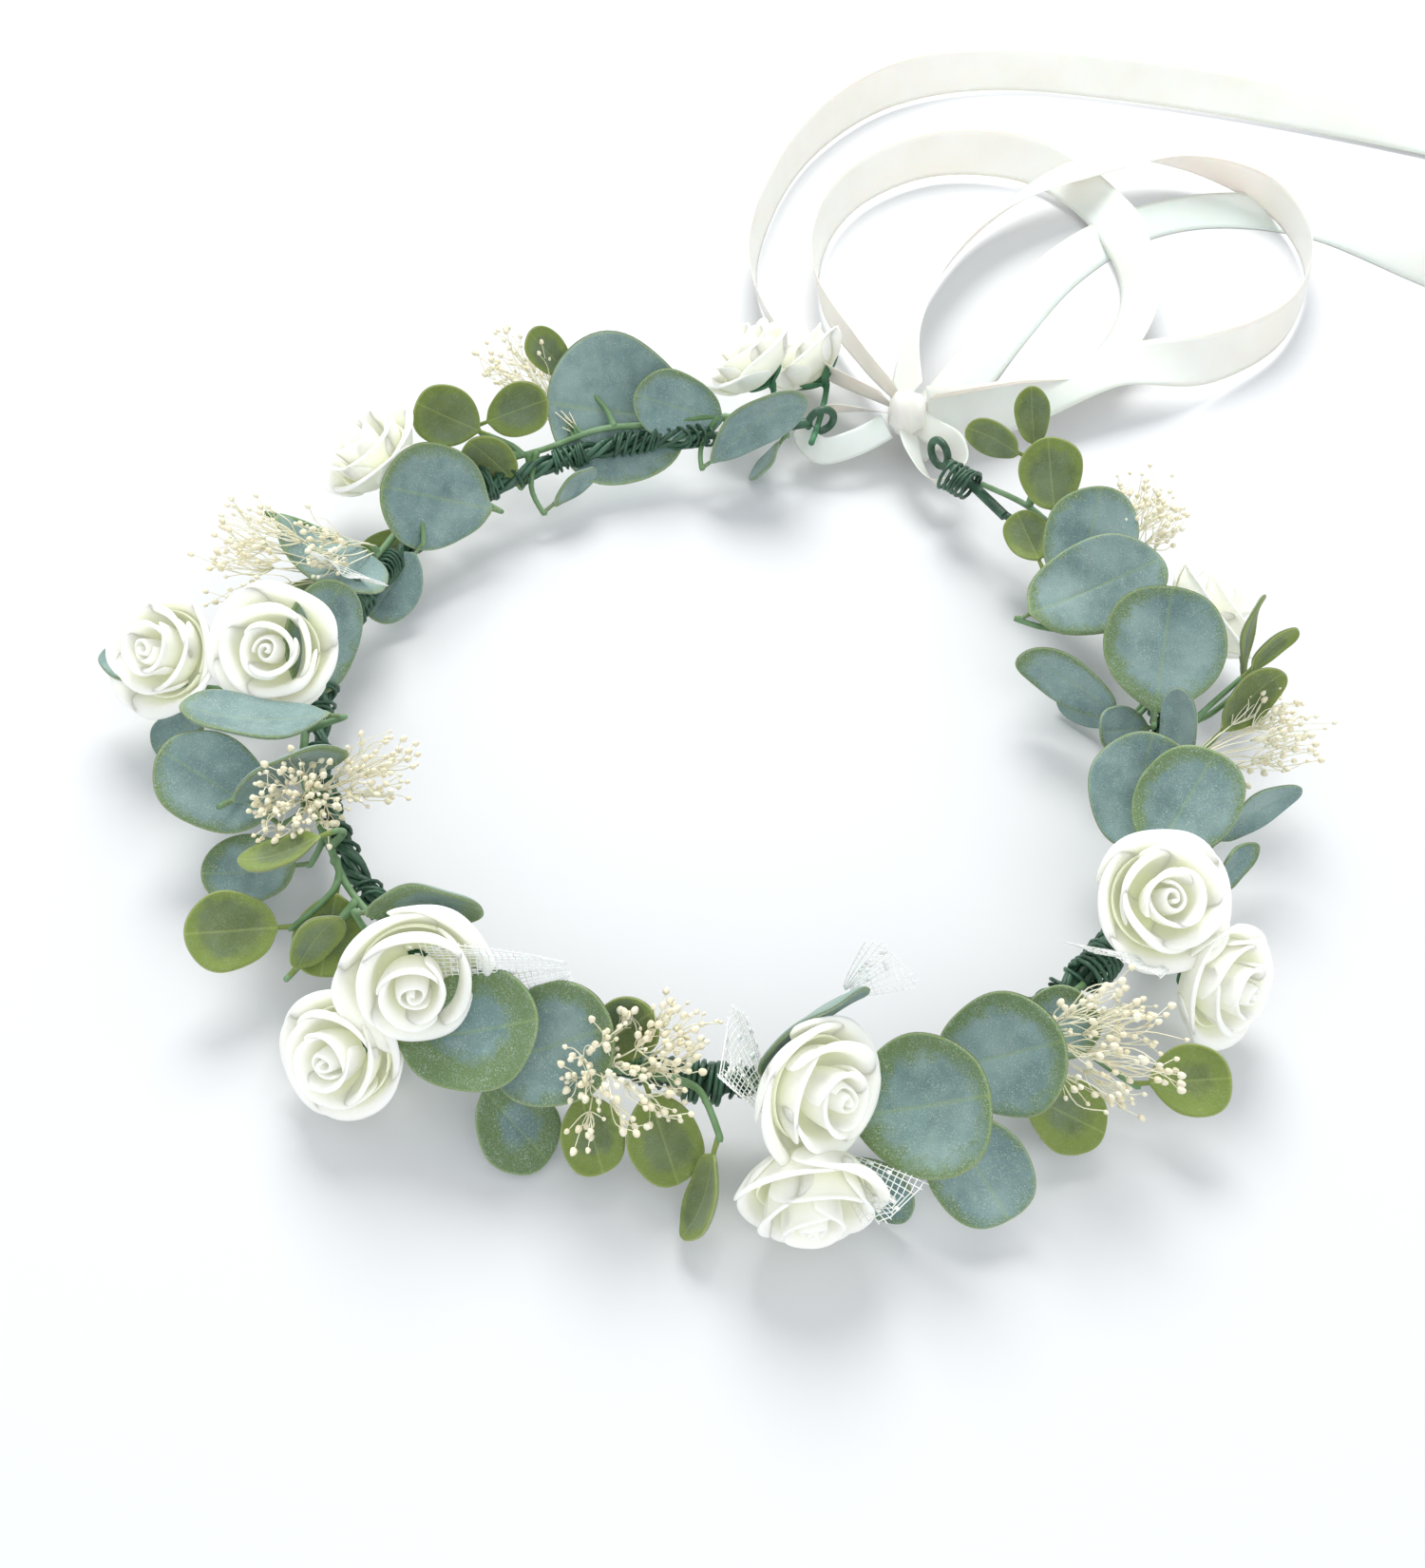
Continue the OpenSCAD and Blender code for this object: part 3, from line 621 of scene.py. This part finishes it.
def thick_sheet(points, rows, columns, thick):
    """A closed sheet of even thickness with a rounded rim, from a grid of points."""
    grid = points.reshape(rows, columns, 3)
    down, over = np.gradient(grid, axis=0), np.gradient(grid, axis=1)
    normal = np.cross(over, down)
    normal /= np.linalg.norm(normal, axis=2, keepdims=True) + 1e-12
    taper = np.ones((rows, columns))
    taper[-1], taper[:, 0], taper[:, -1] = 0.55, 0.55, 0.55
    offset = normal * (thick / 2) * taper[..., None]
    front, back = (grid + offset).reshape(-1, 3), (grid - offset).reshape(-1, 3)
    count = rows * columns
    faces = grid_faces(rows, columns)
    faces += [tuple(reversed([i + count for i in face])) for face in grid_faces(rows, columns)]
    ring = list(range(columns))
    ring += [i * columns + columns - 1 for i in range(1, rows)]
    ring += [(rows - 1) * columns + j for j in range(columns - 2, -1, -1)]
    ring += [i * columns for i in range(rows - 2, 0, -1)]
    for a, b in zip(ring, ring[1:] + ring[:1]):
        faces.append((b, a, a + count, b + count))
    return np.vstack([front, back]), faces


def rose_heart(rng):
    """The rolled heart: one strip wound round itself, highest in the middle."""
    turns, columns, rows = 1.7, 56, 9
    points, up = [], []
    wave = any_phase(rng)
    for t in np.linspace(0, 1, rows):
        s = np.linspace(0, 1, columns)
        angle = 2 * math.pi * turns * s + wave
        radius = (0.45 + 3.1 * s) * (1 - 0.22 * t**3) * (1 + 0.10 * np.sin(2 * angle + wave))
        height = -3 + (10.6 - 1.2 * s + 0.35 * np.sin(1.7 * angle)) * t
        points.append(np.stack([radius * np.cos(angle), radius * np.sin(angle), height], 1))
        up.append(np.full(columns, 0.35 + 0.65 * t))
    return np.vstack(points), np.concatenate(up), rows, columns


def rose_cup():
    """The cup under the petals, closed all round, that hides the calyx from above."""
    line = curve_between([(2.4, -7.7, 0), (6.6, -6.4, 0), (9.0, -3.6, 0), (9.6, -1.4, 0)], 2)
    columns = 33
    turn = np.linspace(0, 2 * math.pi, columns)
    points = [np.stack([r * np.cos(turn), r * np.sin(turn), np.full(columns, z)], 1)
              for r, z, _ in line]
    return np.vstack(points), np.zeros(len(line) * columns), len(line), columns


def make_rose(node, seed):
    """A rose of heart, cup and layers of petals. Returns its frame."""
    at = rose_frame(node)
    rng = random.Random(seed)
    axes = np.stack([at["side"], at["other"], at["axis"]]) * at["size"]
    build = Build()
    spin = rng.uniform(0, 2 * math.pi)
    sheets = [(rose_heart(rng), HEART_THICK), (rose_cup(), CUP_THICK)]
    for count, start, share, line, droop, lip in ROSE_LAYERS:
        shift = np.array([rng.uniform(-0.6, 0.6), rng.uniform(-0.6, 0.6), 0])
        for k in range(count):
            place = k + rng.uniform(-0.08, 0.08)
            centre = spin + math.radians(start) + 2 * math.pi * place / count
            points, *rest = petal(line, centre, math.pi * share, droop, lip, rng)
            sheets.append(((points + shift, *rest), PETAL_THICK))
    for (points, up, rows, columns), thick in sheets:
        closed, faces = thick_sheet(points, rows, columns, thick)
        build.add(at["middle"] + closed @ axes, faces, up=np.concatenate([up, up]))
    piece = build.make(node, FOAM)
    smooth = piece.modifiers.new("soft", "SUBSURF")
    smooth.levels = smooth.render_levels = 1
    return at


# ---------------------------------------------------------------- calyx and its stem

SEPALS = 5
# Heights down a rose's axis, in millimetres of a full rose, where the neck of its wire starts
# and ends
NECK_TOP, NECK_FOOT = -8.0, -11.5


def make_calyx(node, roses, ring_radius, ring_height, seed):
    """Pointed sepals under each rose, and its covered wire down to the ring."""
    rng = random.Random(seed)
    build = Build()
    for at in roses:
        axes = np.stack([at["side"], at["other"], at["axis"]]) * at["size"]
        for k in range(SEPALS):
            centre = 2 * math.pi * (k + rng.uniform(-0.08, 0.08)) / SEPALS
            rows, columns = 8, 7
            s = np.linspace(-1, 1, columns)
            points = []
            for t in np.linspace(0, 1, rows):
                radius = 1.2 + 7.2 * t
                height = -10.0 + 3.6 * t**1.3 + 0.3 * s**2
                half = 0.62 * (1 - t**1.8) * (1 - 0.35 * t) + 0.01
                angle = centre + half * s
                points.append(np.stack([radius * np.cos(angle), radius * np.sin(angle), height], 1))
            closed, faces = thick_sheet(np.vstack(points), rows, columns, 0.35)
            build.add(at["middle"] + closed @ axes, faces)
        foot = at["middle"] + at["axis"] * NECK_FOOT * at["size"]
        neck = at["middle"] + at["axis"] * NECK_TOP * at["size"]
        ring = ring_radius * unit(np.array([foot[0], foot[1], 0])) + np.array([0, 0, ring_height])
        bend = (foot + ring) / 2 + 0.2 * (foot - neck)
        path = curve_between([neck, foot, bend, ring], 6)
        radii = np.interp(np.linspace(0, 1, len(path)), [0, 0.15, 0.35, 1], [2.6, 1.9, 0.8, 0.8])
        build.add(*tube(path, radii * MM, 10))
    build.make(node, SEPAL)


# ---------------------------------------------------------------- sprays


def seed_head(build, at, way, size, rng):
    """A small egg-shaped seed head with a split tip."""
    side, other = across_of(way)
    rows, sides = 7, 8
    points = []
    for i, t in enumerate(np.linspace(0, math.pi, rows)):
        fat = math.sin(t) ** 0.8 * (0.42 + 0.10 * math.cos(t))
        for k in range(sides):
            turn = 2 * math.pi * k / sides
            lobe = 1 + 0.12 * math.cos(3 * turn)
            offset = fat * lobe * spoke(side, other, turn)
            points.append(at + size * (offset - way * 0.5 * math.cos(t) + way * 0.45))
    build.add(np.array(points), grid_faces(rows, sides, wrap=True), bead=1.0)


# Seed heads for each separate solid of a CAD spray
HEADS_PER_SOLID = 9
# How far round the tip of a CAD spray's solid the points are averaged
SPRAY_TIP_NEAR = 2.2 * MM


def make_spray(node, seed):
    """Branching stalks, one bunch of seed heads for each separate solid of the CAD spray."""
    rng = random.Random(seed)
    build = Build()

    def random_way():
        return unit(np.array([rng.gauss(0, 1) for _ in range(3)]))

    def stalk(start, end, radius, sag=0.12):
        bend = (start + end) / 2 + random_way() * sag * np.linalg.norm(end - start)
        path = curve_between([start, bend, end], 4)
        points, faces = tube(path, np.linspace(radius, 0.7 * radius, len(path)), 5)
        build.add(points, faces, bead=0.0)

    for points in islands(node):
        start = farthest(points, points.mean(0), STALK_NEAR)
        tip = farthest(points, start, SPRAY_TIP_NEAR)
        way = unit(tip - start)
        length = np.linalg.norm(tip - start)
        fork = start + way * length * rng.uniform(0.45, 0.65)
        stalk(start, fork, 0.20 * MM, 0.06)
        for _ in range(HEADS_PER_SOLID):
            spread = random_way() * rng.uniform(0.8, 4.4) * MM
            end = fork + (tip - fork) * rng.uniform(0.45, 1.1) + spread
            end[2] = max(end[2], 1.0 * MM)
            stalk(fork, end, rng.uniform(0.10, 0.17) * MM, 0.22)
            seed_head(build, end, unit(end - fork), rng.uniform(0.8, 1.75) * MM, rng)
    build.make(node, SPRAY)


# ---------------------------------------------------------------- net

NET_CELL = 1.25 * MM
NET_THREAD = 0.11 * MM
# Share of the cut that is stated as the cloth's area. It was chosen so that the sheet check
# passes: half of the threads' surface, which it measures, is 0.37 to 0.40 of the cut
# The fans' cloth against the CAD fans: length, width and the least width
FAN_LONGER, FAN_WIDER, FAN_LEAST = 1.05, 1.25, 10 * MM
# Side of the square of net that has one sequin, a sequin's half side, and its thickness, which
# is also its height off the net
SEQUIN_EVERY, SEQUIN_HALF, SEQUIN_THICK = 5 * MM, 0.5 * MM, 0.12 * MM


def fan_frame(points):
    """Gathered end, middle direction and size of a net fan."""
    apart = np.linalg.norm(points[:, None] - points[None], axis=2)
    far = apart > 0.88 * apart.max(axis=1, keepdims=True)
    apex = far.sum(axis=1).argmax()
    rim = points[far[apex]]
    foot = points[apart[apex] < 1.3 * MM].mean(0)
    along = unit(rim.mean(0) - foot)
    spread = np.linalg.svd(rim - rim.mean(0), full_matrices=False)[2][0]
    side = unit(spread - along * (spread @ along))
    wide = rim @ side
    return foot, along, side, np.linalg.norm(rim - foot, axis=1).mean(), wide.max() - wide.min()


def net_fan(build, points, rng):
    """Square net gathered at one end and fanned out, with sequins. Returns its flat size."""
    foot, along, side, length, width = fan_frame(points)
    length, width = FAN_LONGER * length, max(FAN_WIDER * width, FAN_LEAST)
    face = np.cross(along, side)
    pleat = any_phase(rng)

    def spot(x, y):
        """Place of a point of the flat cloth, x along it and y across, once gathered."""
        open_out = min(1.0, 0.10 + 0.90 * (x / length) ** 0.8)
        lift = 0.8 * MM * math.sin(y / (1.6 * MM) + pleat) * (1 - 0.6 * open_out)
        lift += 1.1 * MM * math.sin(7 * y / width + pleat) * x / length
        sweep = -0.25 * abs(y) * open_out
        place = foot + along * (x + sweep) + side * y * open_out + face * lift
        place[2] = max(place[2], 0.3 * MM)
        return place

    def ragged(y):
        return length * (0.84 + 0.12 * math.sin(9 * y / width + pleat))

    for y in np.arange(-width / 2, width / 2 + 1e-9, NET_CELL):
        path = [spot(x, y) for x in np.arange(0.5 * MM, ragged(y) + 0.5 * MM, NET_CELL / 2)]
        build.add(*tube(np.array(path), NET_THREAD, 4))
    for x in np.arange(NET_CELL, length, NET_CELL):
        ys = [y for y in np.arange(-width / 2, width / 2 + 1e-9, NET_CELL / 2) if x <= ragged(y)]
        if len(ys) > 3:
            build.add(*tube(np.array([spot(x, y) for y in ys]), NET_THREAD, 4))
    for _ in range(int(length * width / SEQUIN_EVERY**2) + 2):
        x, y = rng.uniform(0.3, 0.85) * length, rng.uniform(-0.42, 0.42) * width
        corners = [spot(x + a * SEQUIN_HALF, y + b * SEQUIN_HALF) + face * SEQUIN_THICK
                   for a, b in ((-1, -1), (1, -1), (1, 1), (-1, 1))]
        top = [corner + face * SEQUIN_THICK for corner in corners]
        faces = [(3, 2, 1, 0), (4, 5, 6, 7)]
        faces += [(k, (k + 1) % 4, (k + 1) % 4 + 4, k + 4) for k in range(4)]
        build.add(np.array(corners + top), faces)
    return width, length


def make_net(node, seed):
    """The net fans of one node, as one mesh."""
    rng = random.Random(seed)
    build = Build()
    flats = [net_fan(build, points, rng) for points in islands(node)]
    piece = build.make(node, NET)


# ---------------------------------------------------------------- ring wires

CORE_RADIUS = 1 * MM
COIL_STEPS = 12
# First angle of the winding and how far it runs
WINDING_START, WINDING_SWEEP = math.radians(116), math.radians(308)
STRANDS, STRAND_STEPS, STRAND_RADIUS = 4, 420, 0.72 * MM
COIL_RADIUS, TIE_RADIUS = 0.42 * MM, 0.5 * MM
# No coil starts in this last stretch of the winding, in radians
WINDING_END = 0.12
# CAD ties closer than this along the ring are wound as one
TIE_GAP = 4 * MM


def ring_of(node):
    """Radius and height of the ring wire's middle line."""
    low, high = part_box(node)
    return (high[0] - low[0]) / 2 - CORE_RADIUS, (low[2] + high[2]) / 2


def coil(build, start, end, reach, pitch, thick, ring_radius, ring_height, loose, rng):
    """Turns of thin wire laid close together round the ring, from one angle to another."""
    turns = max(2, int((end - start) * ring_radius / pitch))
    lean, phase, drift = rng.uniform(-loose, loose), any_phase(rng), rng.uniform(0.3, 0.9)
    path = []
    for i in range(turns * COIL_STEPS + 1):
        turn = 2 * math.pi * i / COIL_STEPS
        sway = lean * math.sin(turn) + 0.4 * loose * math.sin(drift * turn)
        angle = start + (end - start) * i / (turns * COIL_STEPS)
        angle += pitch * sway / ring_radius
        wide = reach * (1 + 0.07 * loose * math.sin(drift * turn + phase))
        path.append(round_crown(angle, ring_radius + wide * math.cos(turn + phase),
                                ring_height + wide * math.sin(turn + phase)))
    build.add(*tube(path, thick, 6))


def make_winding(ring_radius, ring_height):
    """Wires twisted along the ring, and short lengths of thinner wire wound round them."""
    rng = random.Random(SEEDS["winding"])
    build = Build()
    for strand in range(STRANDS):
        phase = strand * math.pi / 2 + rng.uniform(-0.4, 0.4)
        reach = rng.uniform(1.55, 1.95) * MM
        path = []
        for i in range(STRAND_STEPS + 1):
            share = i / STRAND_STEPS
            angle = WINDING_START + WINDING_SWEEP * share
            turn = phase + 2 * math.pi * (24 + strand % 2) * share + 0.5 * math.sin(31 * share)
            path.append(round_crown(angle, ring_radius + reach * math.cos(turn),
                                    ring_height + reach * math.sin(turn)))
        build.add(*tube(path, STRAND_RADIUS, 8))
    place = WINDING_START
    while place < WINDING_START + WINDING_SWEEP - WINDING_END:
        length = rng.uniform(0.05, 0.14)
        pitch = rng.choice((1.15, 1.3, 2.4)) * MM
        coil(build, place, place + length, 2.75 * MM, pitch, COIL_RADIUS, ring_radius,
             ring_height, 1.3, rng)
        place += length + rng.uniform(0.02, 0.10)
    build.make("hoop_winding", WIRE)


def make_binding(ring_radius):
    """The ties of thin wire round ring and stems, each wound where the CAD frame has it."""
    rng = random.Random(SEEDS["binding"])
    build = Build()
    places = []
    for points in islands("hoop_binding"):
        middle = points.mean(0)
        reach = np.linalg.norm(points - middle, axis=1).max()
        places.append((math.atan2(middle[1], middle[0]), middle, reach))
    places.sort(key=lambda place: place[0])
    groups = [[places[0]]]
    for place in places[1:]:
        if (place[0] - groups[-1][-1][0]) * ring_radius < TIE_GAP:
            groups[-1].append(place)
        else:
            groups.append([place])
    for group in groups:
        middle = np.mean([place[1] for place in group], axis=0)
        reach = 0.85 * np.mean([place[2] for place in group]) - TIE_RADIUS
        coil(build, group[0][0], group[-1][0], reach, 1.15 * MM, TIE_RADIUS,
             math.hypot(middle[0], middle[1]), middle[2], 0.7, rng)
    build.make("hoop_binding", WIRE)


# ---------------------------------------------------------------- ribbon

RIBBON_WIDTH = 14 * MM
RIBBON_THICK = 0.22 * MM
RIBBON_COLUMNS = 9
# Width of the strips wrapped round the wire, as a share of the ribbon's
WRAP_SHARE = 0.5
# The narrowest flat side that a sheet may state
# The ribbon's middle line, as in the CAD source: [x, y, height of its lower edge, in
# millimetres, tilt of its width from flat, in degrees]
WRAPS = [
    [[2, 116, 10, 30], [-8, 113, 10, 45], [-17, 108, 10, 60], [-21, 101, 8, 60],
     [-14, 97, 6, 50], [-6, 102, 8, 40], [0, 110, 10, 30]],
    [[6, 116, 10, 30], [12, 112, 10, 45], [19, 108, 10, 60], [22, 102, 8, 60],
     [17, 97, 6, 50], [10, 103, 8, 40], [6, 110, 10, 30]],
]
LOOP_LEFT = [[1, 119, 9, 60], [-16, 138, 5, 70], [-37, 166, 2, 75], [-46, 198, 2, 75],
             [-42, 230, 2, 75], [-24, 256, 2, 75], [4, 266, 2, 60], [30, 254, 2, 30],
             [46, 224, 2, 60], [52, 196, 2, 40], [45, 166, 2, 30], [25, 138, 5, 60],
             [8, 119, 9, 60]]
LOOP_RIGHT = [[9, 117, 8, 60], [27, 132, 6, 50], [50, 160, 11, 10], [76, 180, 4, 60],
              [94, 210, 2, 80], [96, 248, 2, 80], [80, 278, 2, 75], [50, 282, 6, 45],
              [22, 262, 11, 10], [2, 228, 4, 50], [-6, 190, 2, 70], [-5, 150, 4, 70],
              [2, 120, 8, 60]]
TAIL_LEFT = [[-2, 116, 10, 50], [-34, 134, 4, 60], [-58, 168, 1, 75], [-67, 212, 1, 80],
             [-65, 256, 1, 80], [-50, 296, 1, 75], [-20, 324, 1, 60], [30, 338, 1, 60],
             [84, 346, 1, 50], [140, 350, 1, 30], [190, 352, 1, 10]]
TAIL_RIGHT = [[6, 112, 3, 30], [11, 140, 1, 18], [17, 180, 0, 11], [26, 220, 0, 16],
              [42, 254, 0, 10], [66, 274, 0, 18], [98, 280, 0, 30], [134, 266, 0, 60],
              [176, 254, 0, 60], [212, 248, 0, 30]]


def ribbon_sheet(build, route, width):
    """A strip of ribbon along its route. Returns its length."""
    line = curve_between(route, 12)
    middle = line[:, :2] * MM
    runs = np.gradient(middle, axis=0)
    runs /= np.linalg.norm(runs, axis=1, keepdims=True)
    tilt = np.radians(line[:, 3])
    side = np.stack([-runs[:, 1], runs[:, 0], np.zeros(len(runs))], 1)
    up = np.array([0, 0, 1.0])
    across = side * np.cos(tilt)[:, None] + up * np.sin(tilt)[:, None]
    face = -side * np.sin(tilt)[:, None] + up * np.cos(tilt)[:, None]
    rise = line[:, 2] * MM + width / 2 * np.abs(np.sin(tilt)) + 0.25 * MM
    centre = np.stack([middle[:, 0], middle[:, 1], rise], 1)
    s = np.linspace(-1, 1, RIBBON_COLUMNS)
    steps = np.concatenate([[0], np.cumsum(np.linalg.norm(np.diff(centre, axis=0), axis=1))])
    grid = centre[:, None, :] + across[:, None, :] * (s * width / 2)[None, :, None]
    # The strip is cupped a little, now one way and now the other
    cup = 0.035 * width * (1 - s**2)[None, :] * np.sin(steps * 55)[:, None]
    grid = grid + face[:, None, :] * cup[..., None]
    grid[..., 2] = np.maximum(grid[..., 2], 0.15 * MM)
    closed, faces = thick_sheet(grid.reshape(-1, 3), len(line), RIBBON_COLUMNS, RIBBON_THICK)
    run = np.repeat(steps, RIBBON_COLUMNS)
    build.add(closed, faces, run=np.tile(run, 2), across=np.tile(np.tile(s, len(line)), 2))
    return steps[-1]


def make_ribbon():
    """Loops, tails and wraps, each made as one strip."""
    strips = [("ribbon_loop_left", [LOOP_LEFT], 1.0, ["ribbon_knot"]),
              ("ribbon_loop_right", [LOOP_RIGHT], 1.0, ["ribbon_loop_left", "ribbon_knot"]),
              ("ribbon_tail_left", [TAIL_LEFT], 1.0, ["ribbon_knot"]),
              ("ribbon_tail_right", [TAIL_RIGHT], 1.0, ["ribbon_knot"]),
              ("ribbon_wraps", WRAPS, WRAP_SHARE, ["hoop_wire"])]
    for node, routes, share, rests in strips:
        build = Build()
        width = RIBBON_WIDTH * share
        length = sum(ribbon_sheet(build, route, width) for route in routes)
        piece = build.make(node, RIBBON)


# Which way the knot's band runs, as an angle from +X
KNOT_TURN = math.radians(20)


def make_knot():
    """The knot: a band of ribbon drawn tight round the crossing, creased along its length."""
    low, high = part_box("ribbon_knot")
    middle = np.array((low + high) / 2)
    build = Build()
    axis = round_crown(KNOT_TURN, 1, 0)
    side, other = across_of(axis)
    rows, sides = 13, 40
    points = []
    for x in np.linspace(-1, 1, rows):
        for k in range(sides):
            turn = 2 * math.pi * k / sides
            radius = 5.4 + 0.35 * math.sin(9 * x + 1.2 * math.sin(turn)) - 2.2 * abs(x) ** 3
            radius *= 1 + 0.06 * math.sin(2 * turn + x)
            points.append(middle + MM * (4.6 * x * axis + radius * spoke(side, other, turn)))
    faces = grid_faces(rows, sides, wrap=True)
    faces += [tuple(reversed(range(sides))), tuple(range((rows - 1) * sides, rows * sides))]
    build.add(np.array(points), faces, run=0.3, across=0.2)
    build.make("ribbon_knot", RIBBON)


# ---------------------------------------------------------------- the object

ROSES = {1: ["rose_1a", "rose_1b"], 2: ["rose_2a", "rose_2b"], 3: ["rose_3a", "rose_3b"],
         4: ["rose_4a"], 5: ["rose_5a", "rose_5b"], 6: ["rose_6a"], 7: ["rose_7a", "rose_7b"]}
# How far the green of the rim reaches on the blue leaves of each sprig, least and most
GREENNESS = {1: (0.15, 0.95), 2: (0.15, 0.55), 3: (0.0, 0.3), 4: (0.0, 0.3), 5: (0.0, 0.2),
             6: (0.0, 0.25), 7: (0.0, 0.5)}
TIP_GREENNESS = (0.2, 0.8)
NET_SPRIGS = (1, 2, 3, 6)
ring_radius, ring_height = ring_of("hoop_wire")
for number in SPRIGS:
    make_leaves(f"sprig_{number}_leaves", LEAF_BLUE, SEEDS["leaves"] + number,
                GREENNESS[number])
    make_leaves(f"sprig_{number}_tips", LEAF_OLIVE, SEEDS["tips"] + number,
                TIP_GREENNESS)
    heads = [make_rose(name, SEEDS["rose"] + 10 * number + k)
             for k, name in enumerate(ROSES[number])]
    make_calyx(f"sprig_{number}_calyx", heads, ring_radius, ring_height,
               SEEDS["calyx"] + number)
    make_spray(f"sprig_{number}_spray", SEEDS["spray"] + number)
    make_stem(number)
for number in NET_SPRIGS:
    make_net(f"net_{number}", SEEDS["net"] + number)
make_winding(ring_radius, ring_height)
make_binding(ring_radius)
hoop_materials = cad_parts["hoop_wire"].data.materials
hoop_materials.clear()
hoop_materials.append(WIRE)
make_ribbon()
make_knot()

# ---------------------------------------------------------------- floor, light, camera


FLOOR_HALF = 6.0
# The camera was fitted by least squares to the ring in the photo, with the strength of its
# perspective chosen from a few trial values
CAMERA_PLACE = Vector((61.7, -230.4, 278.6)) * MM
CAMERA_TARGET = Vector((0.3, -24.3, 14)) * MM
CAMERA_LENS, CAMERA_SENSOR = 36.6, 36
CAMERA_ROLL = math.radians(4.9)


def make_floor():
    mesh = bpy.data.meshes.new("floor")
    corners = [(-FLOOR_HALF, -FLOOR_HALF, 0), (FLOOR_HALF, -FLOOR_HALF, 0),
               (FLOOR_HALF, FLOOR_HALF, 0), (-FLOOR_HALF, FLOOR_HALF, 0)]
    mesh.from_pydata(corners, [], [(0, 1, 2, 3)])
    floor = bpy.data.objects.new("floor", mesh)
    bpy.context.scene.collection.objects.link(floor)
    s = Shader("floor", roughness=0.9, Specular_IOR_Level=0.1)
    colour = s.mix(s.noise(3, 2), (0.69, 0.70, 0.71), (0.71, 0.72, 0.73))
    floor.data.materials.append(s.wire(Base_Color=colour))


def area_light(name, place, target, size, power, colour):
    data = bpy.data.lights.new(name, "AREA")
    data.shape, data.size, data.energy, data.color = "DISK", size, power, colour
    lamp = bpy.data.objects.new(name, data)
    bpy.context.scene.collection.objects.link(lamp)
    lamp.location = place
    lamp.rotation_euler = (Vector(target) - Vector(place)).to_track_quat("-Z", "Y").to_euler()


def make_light():
    world = bpy.data.worlds.new("studio")
    bpy.context.scene.world = world
    world.use_nodes = True
    sky = world.node_tree.nodes["Background"].inputs
    sky["Color"].default_value = (0.93, 0.96, 1.0, 1)
    sky["Strength"].default_value = 0.80
    area_light("key", (-0.35, 0.75, 1.0), (0, 0, 0), 0.7, 14, (1, 0.99, 0.97))
    area_light("fill", (0.5, -0.9, 0.9), (0, 0, 0), 1.2, 5, (0.97, 0.98, 1))


def make_camera():
    data = bpy.data.cameras.new("camera")
    data.sensor_fit = "AUTO"
    data.sensor_width = CAMERA_SENSOR
    data.lens = CAMERA_LENS
    data.clip_start, data.clip_end = 0.01, 50
    camera = bpy.data.objects.new("camera", data)
    bpy.context.scene.collection.objects.link(camera)
    camera.location = CAMERA_PLACE
    roll = Matrix.Rotation(CAMERA_ROLL, 4, "Z")
    look = (CAMERA_TARGET - CAMERA_PLACE).to_track_quat("-Z", "Y").to_matrix().to_4x4()
    camera.rotation_euler = (look @ roll).to_euler()
    bpy.context.scene.camera = camera


make_floor()
make_light()
make_camera()
bpy.context.scene.view_settings.view_transform = "Standard"
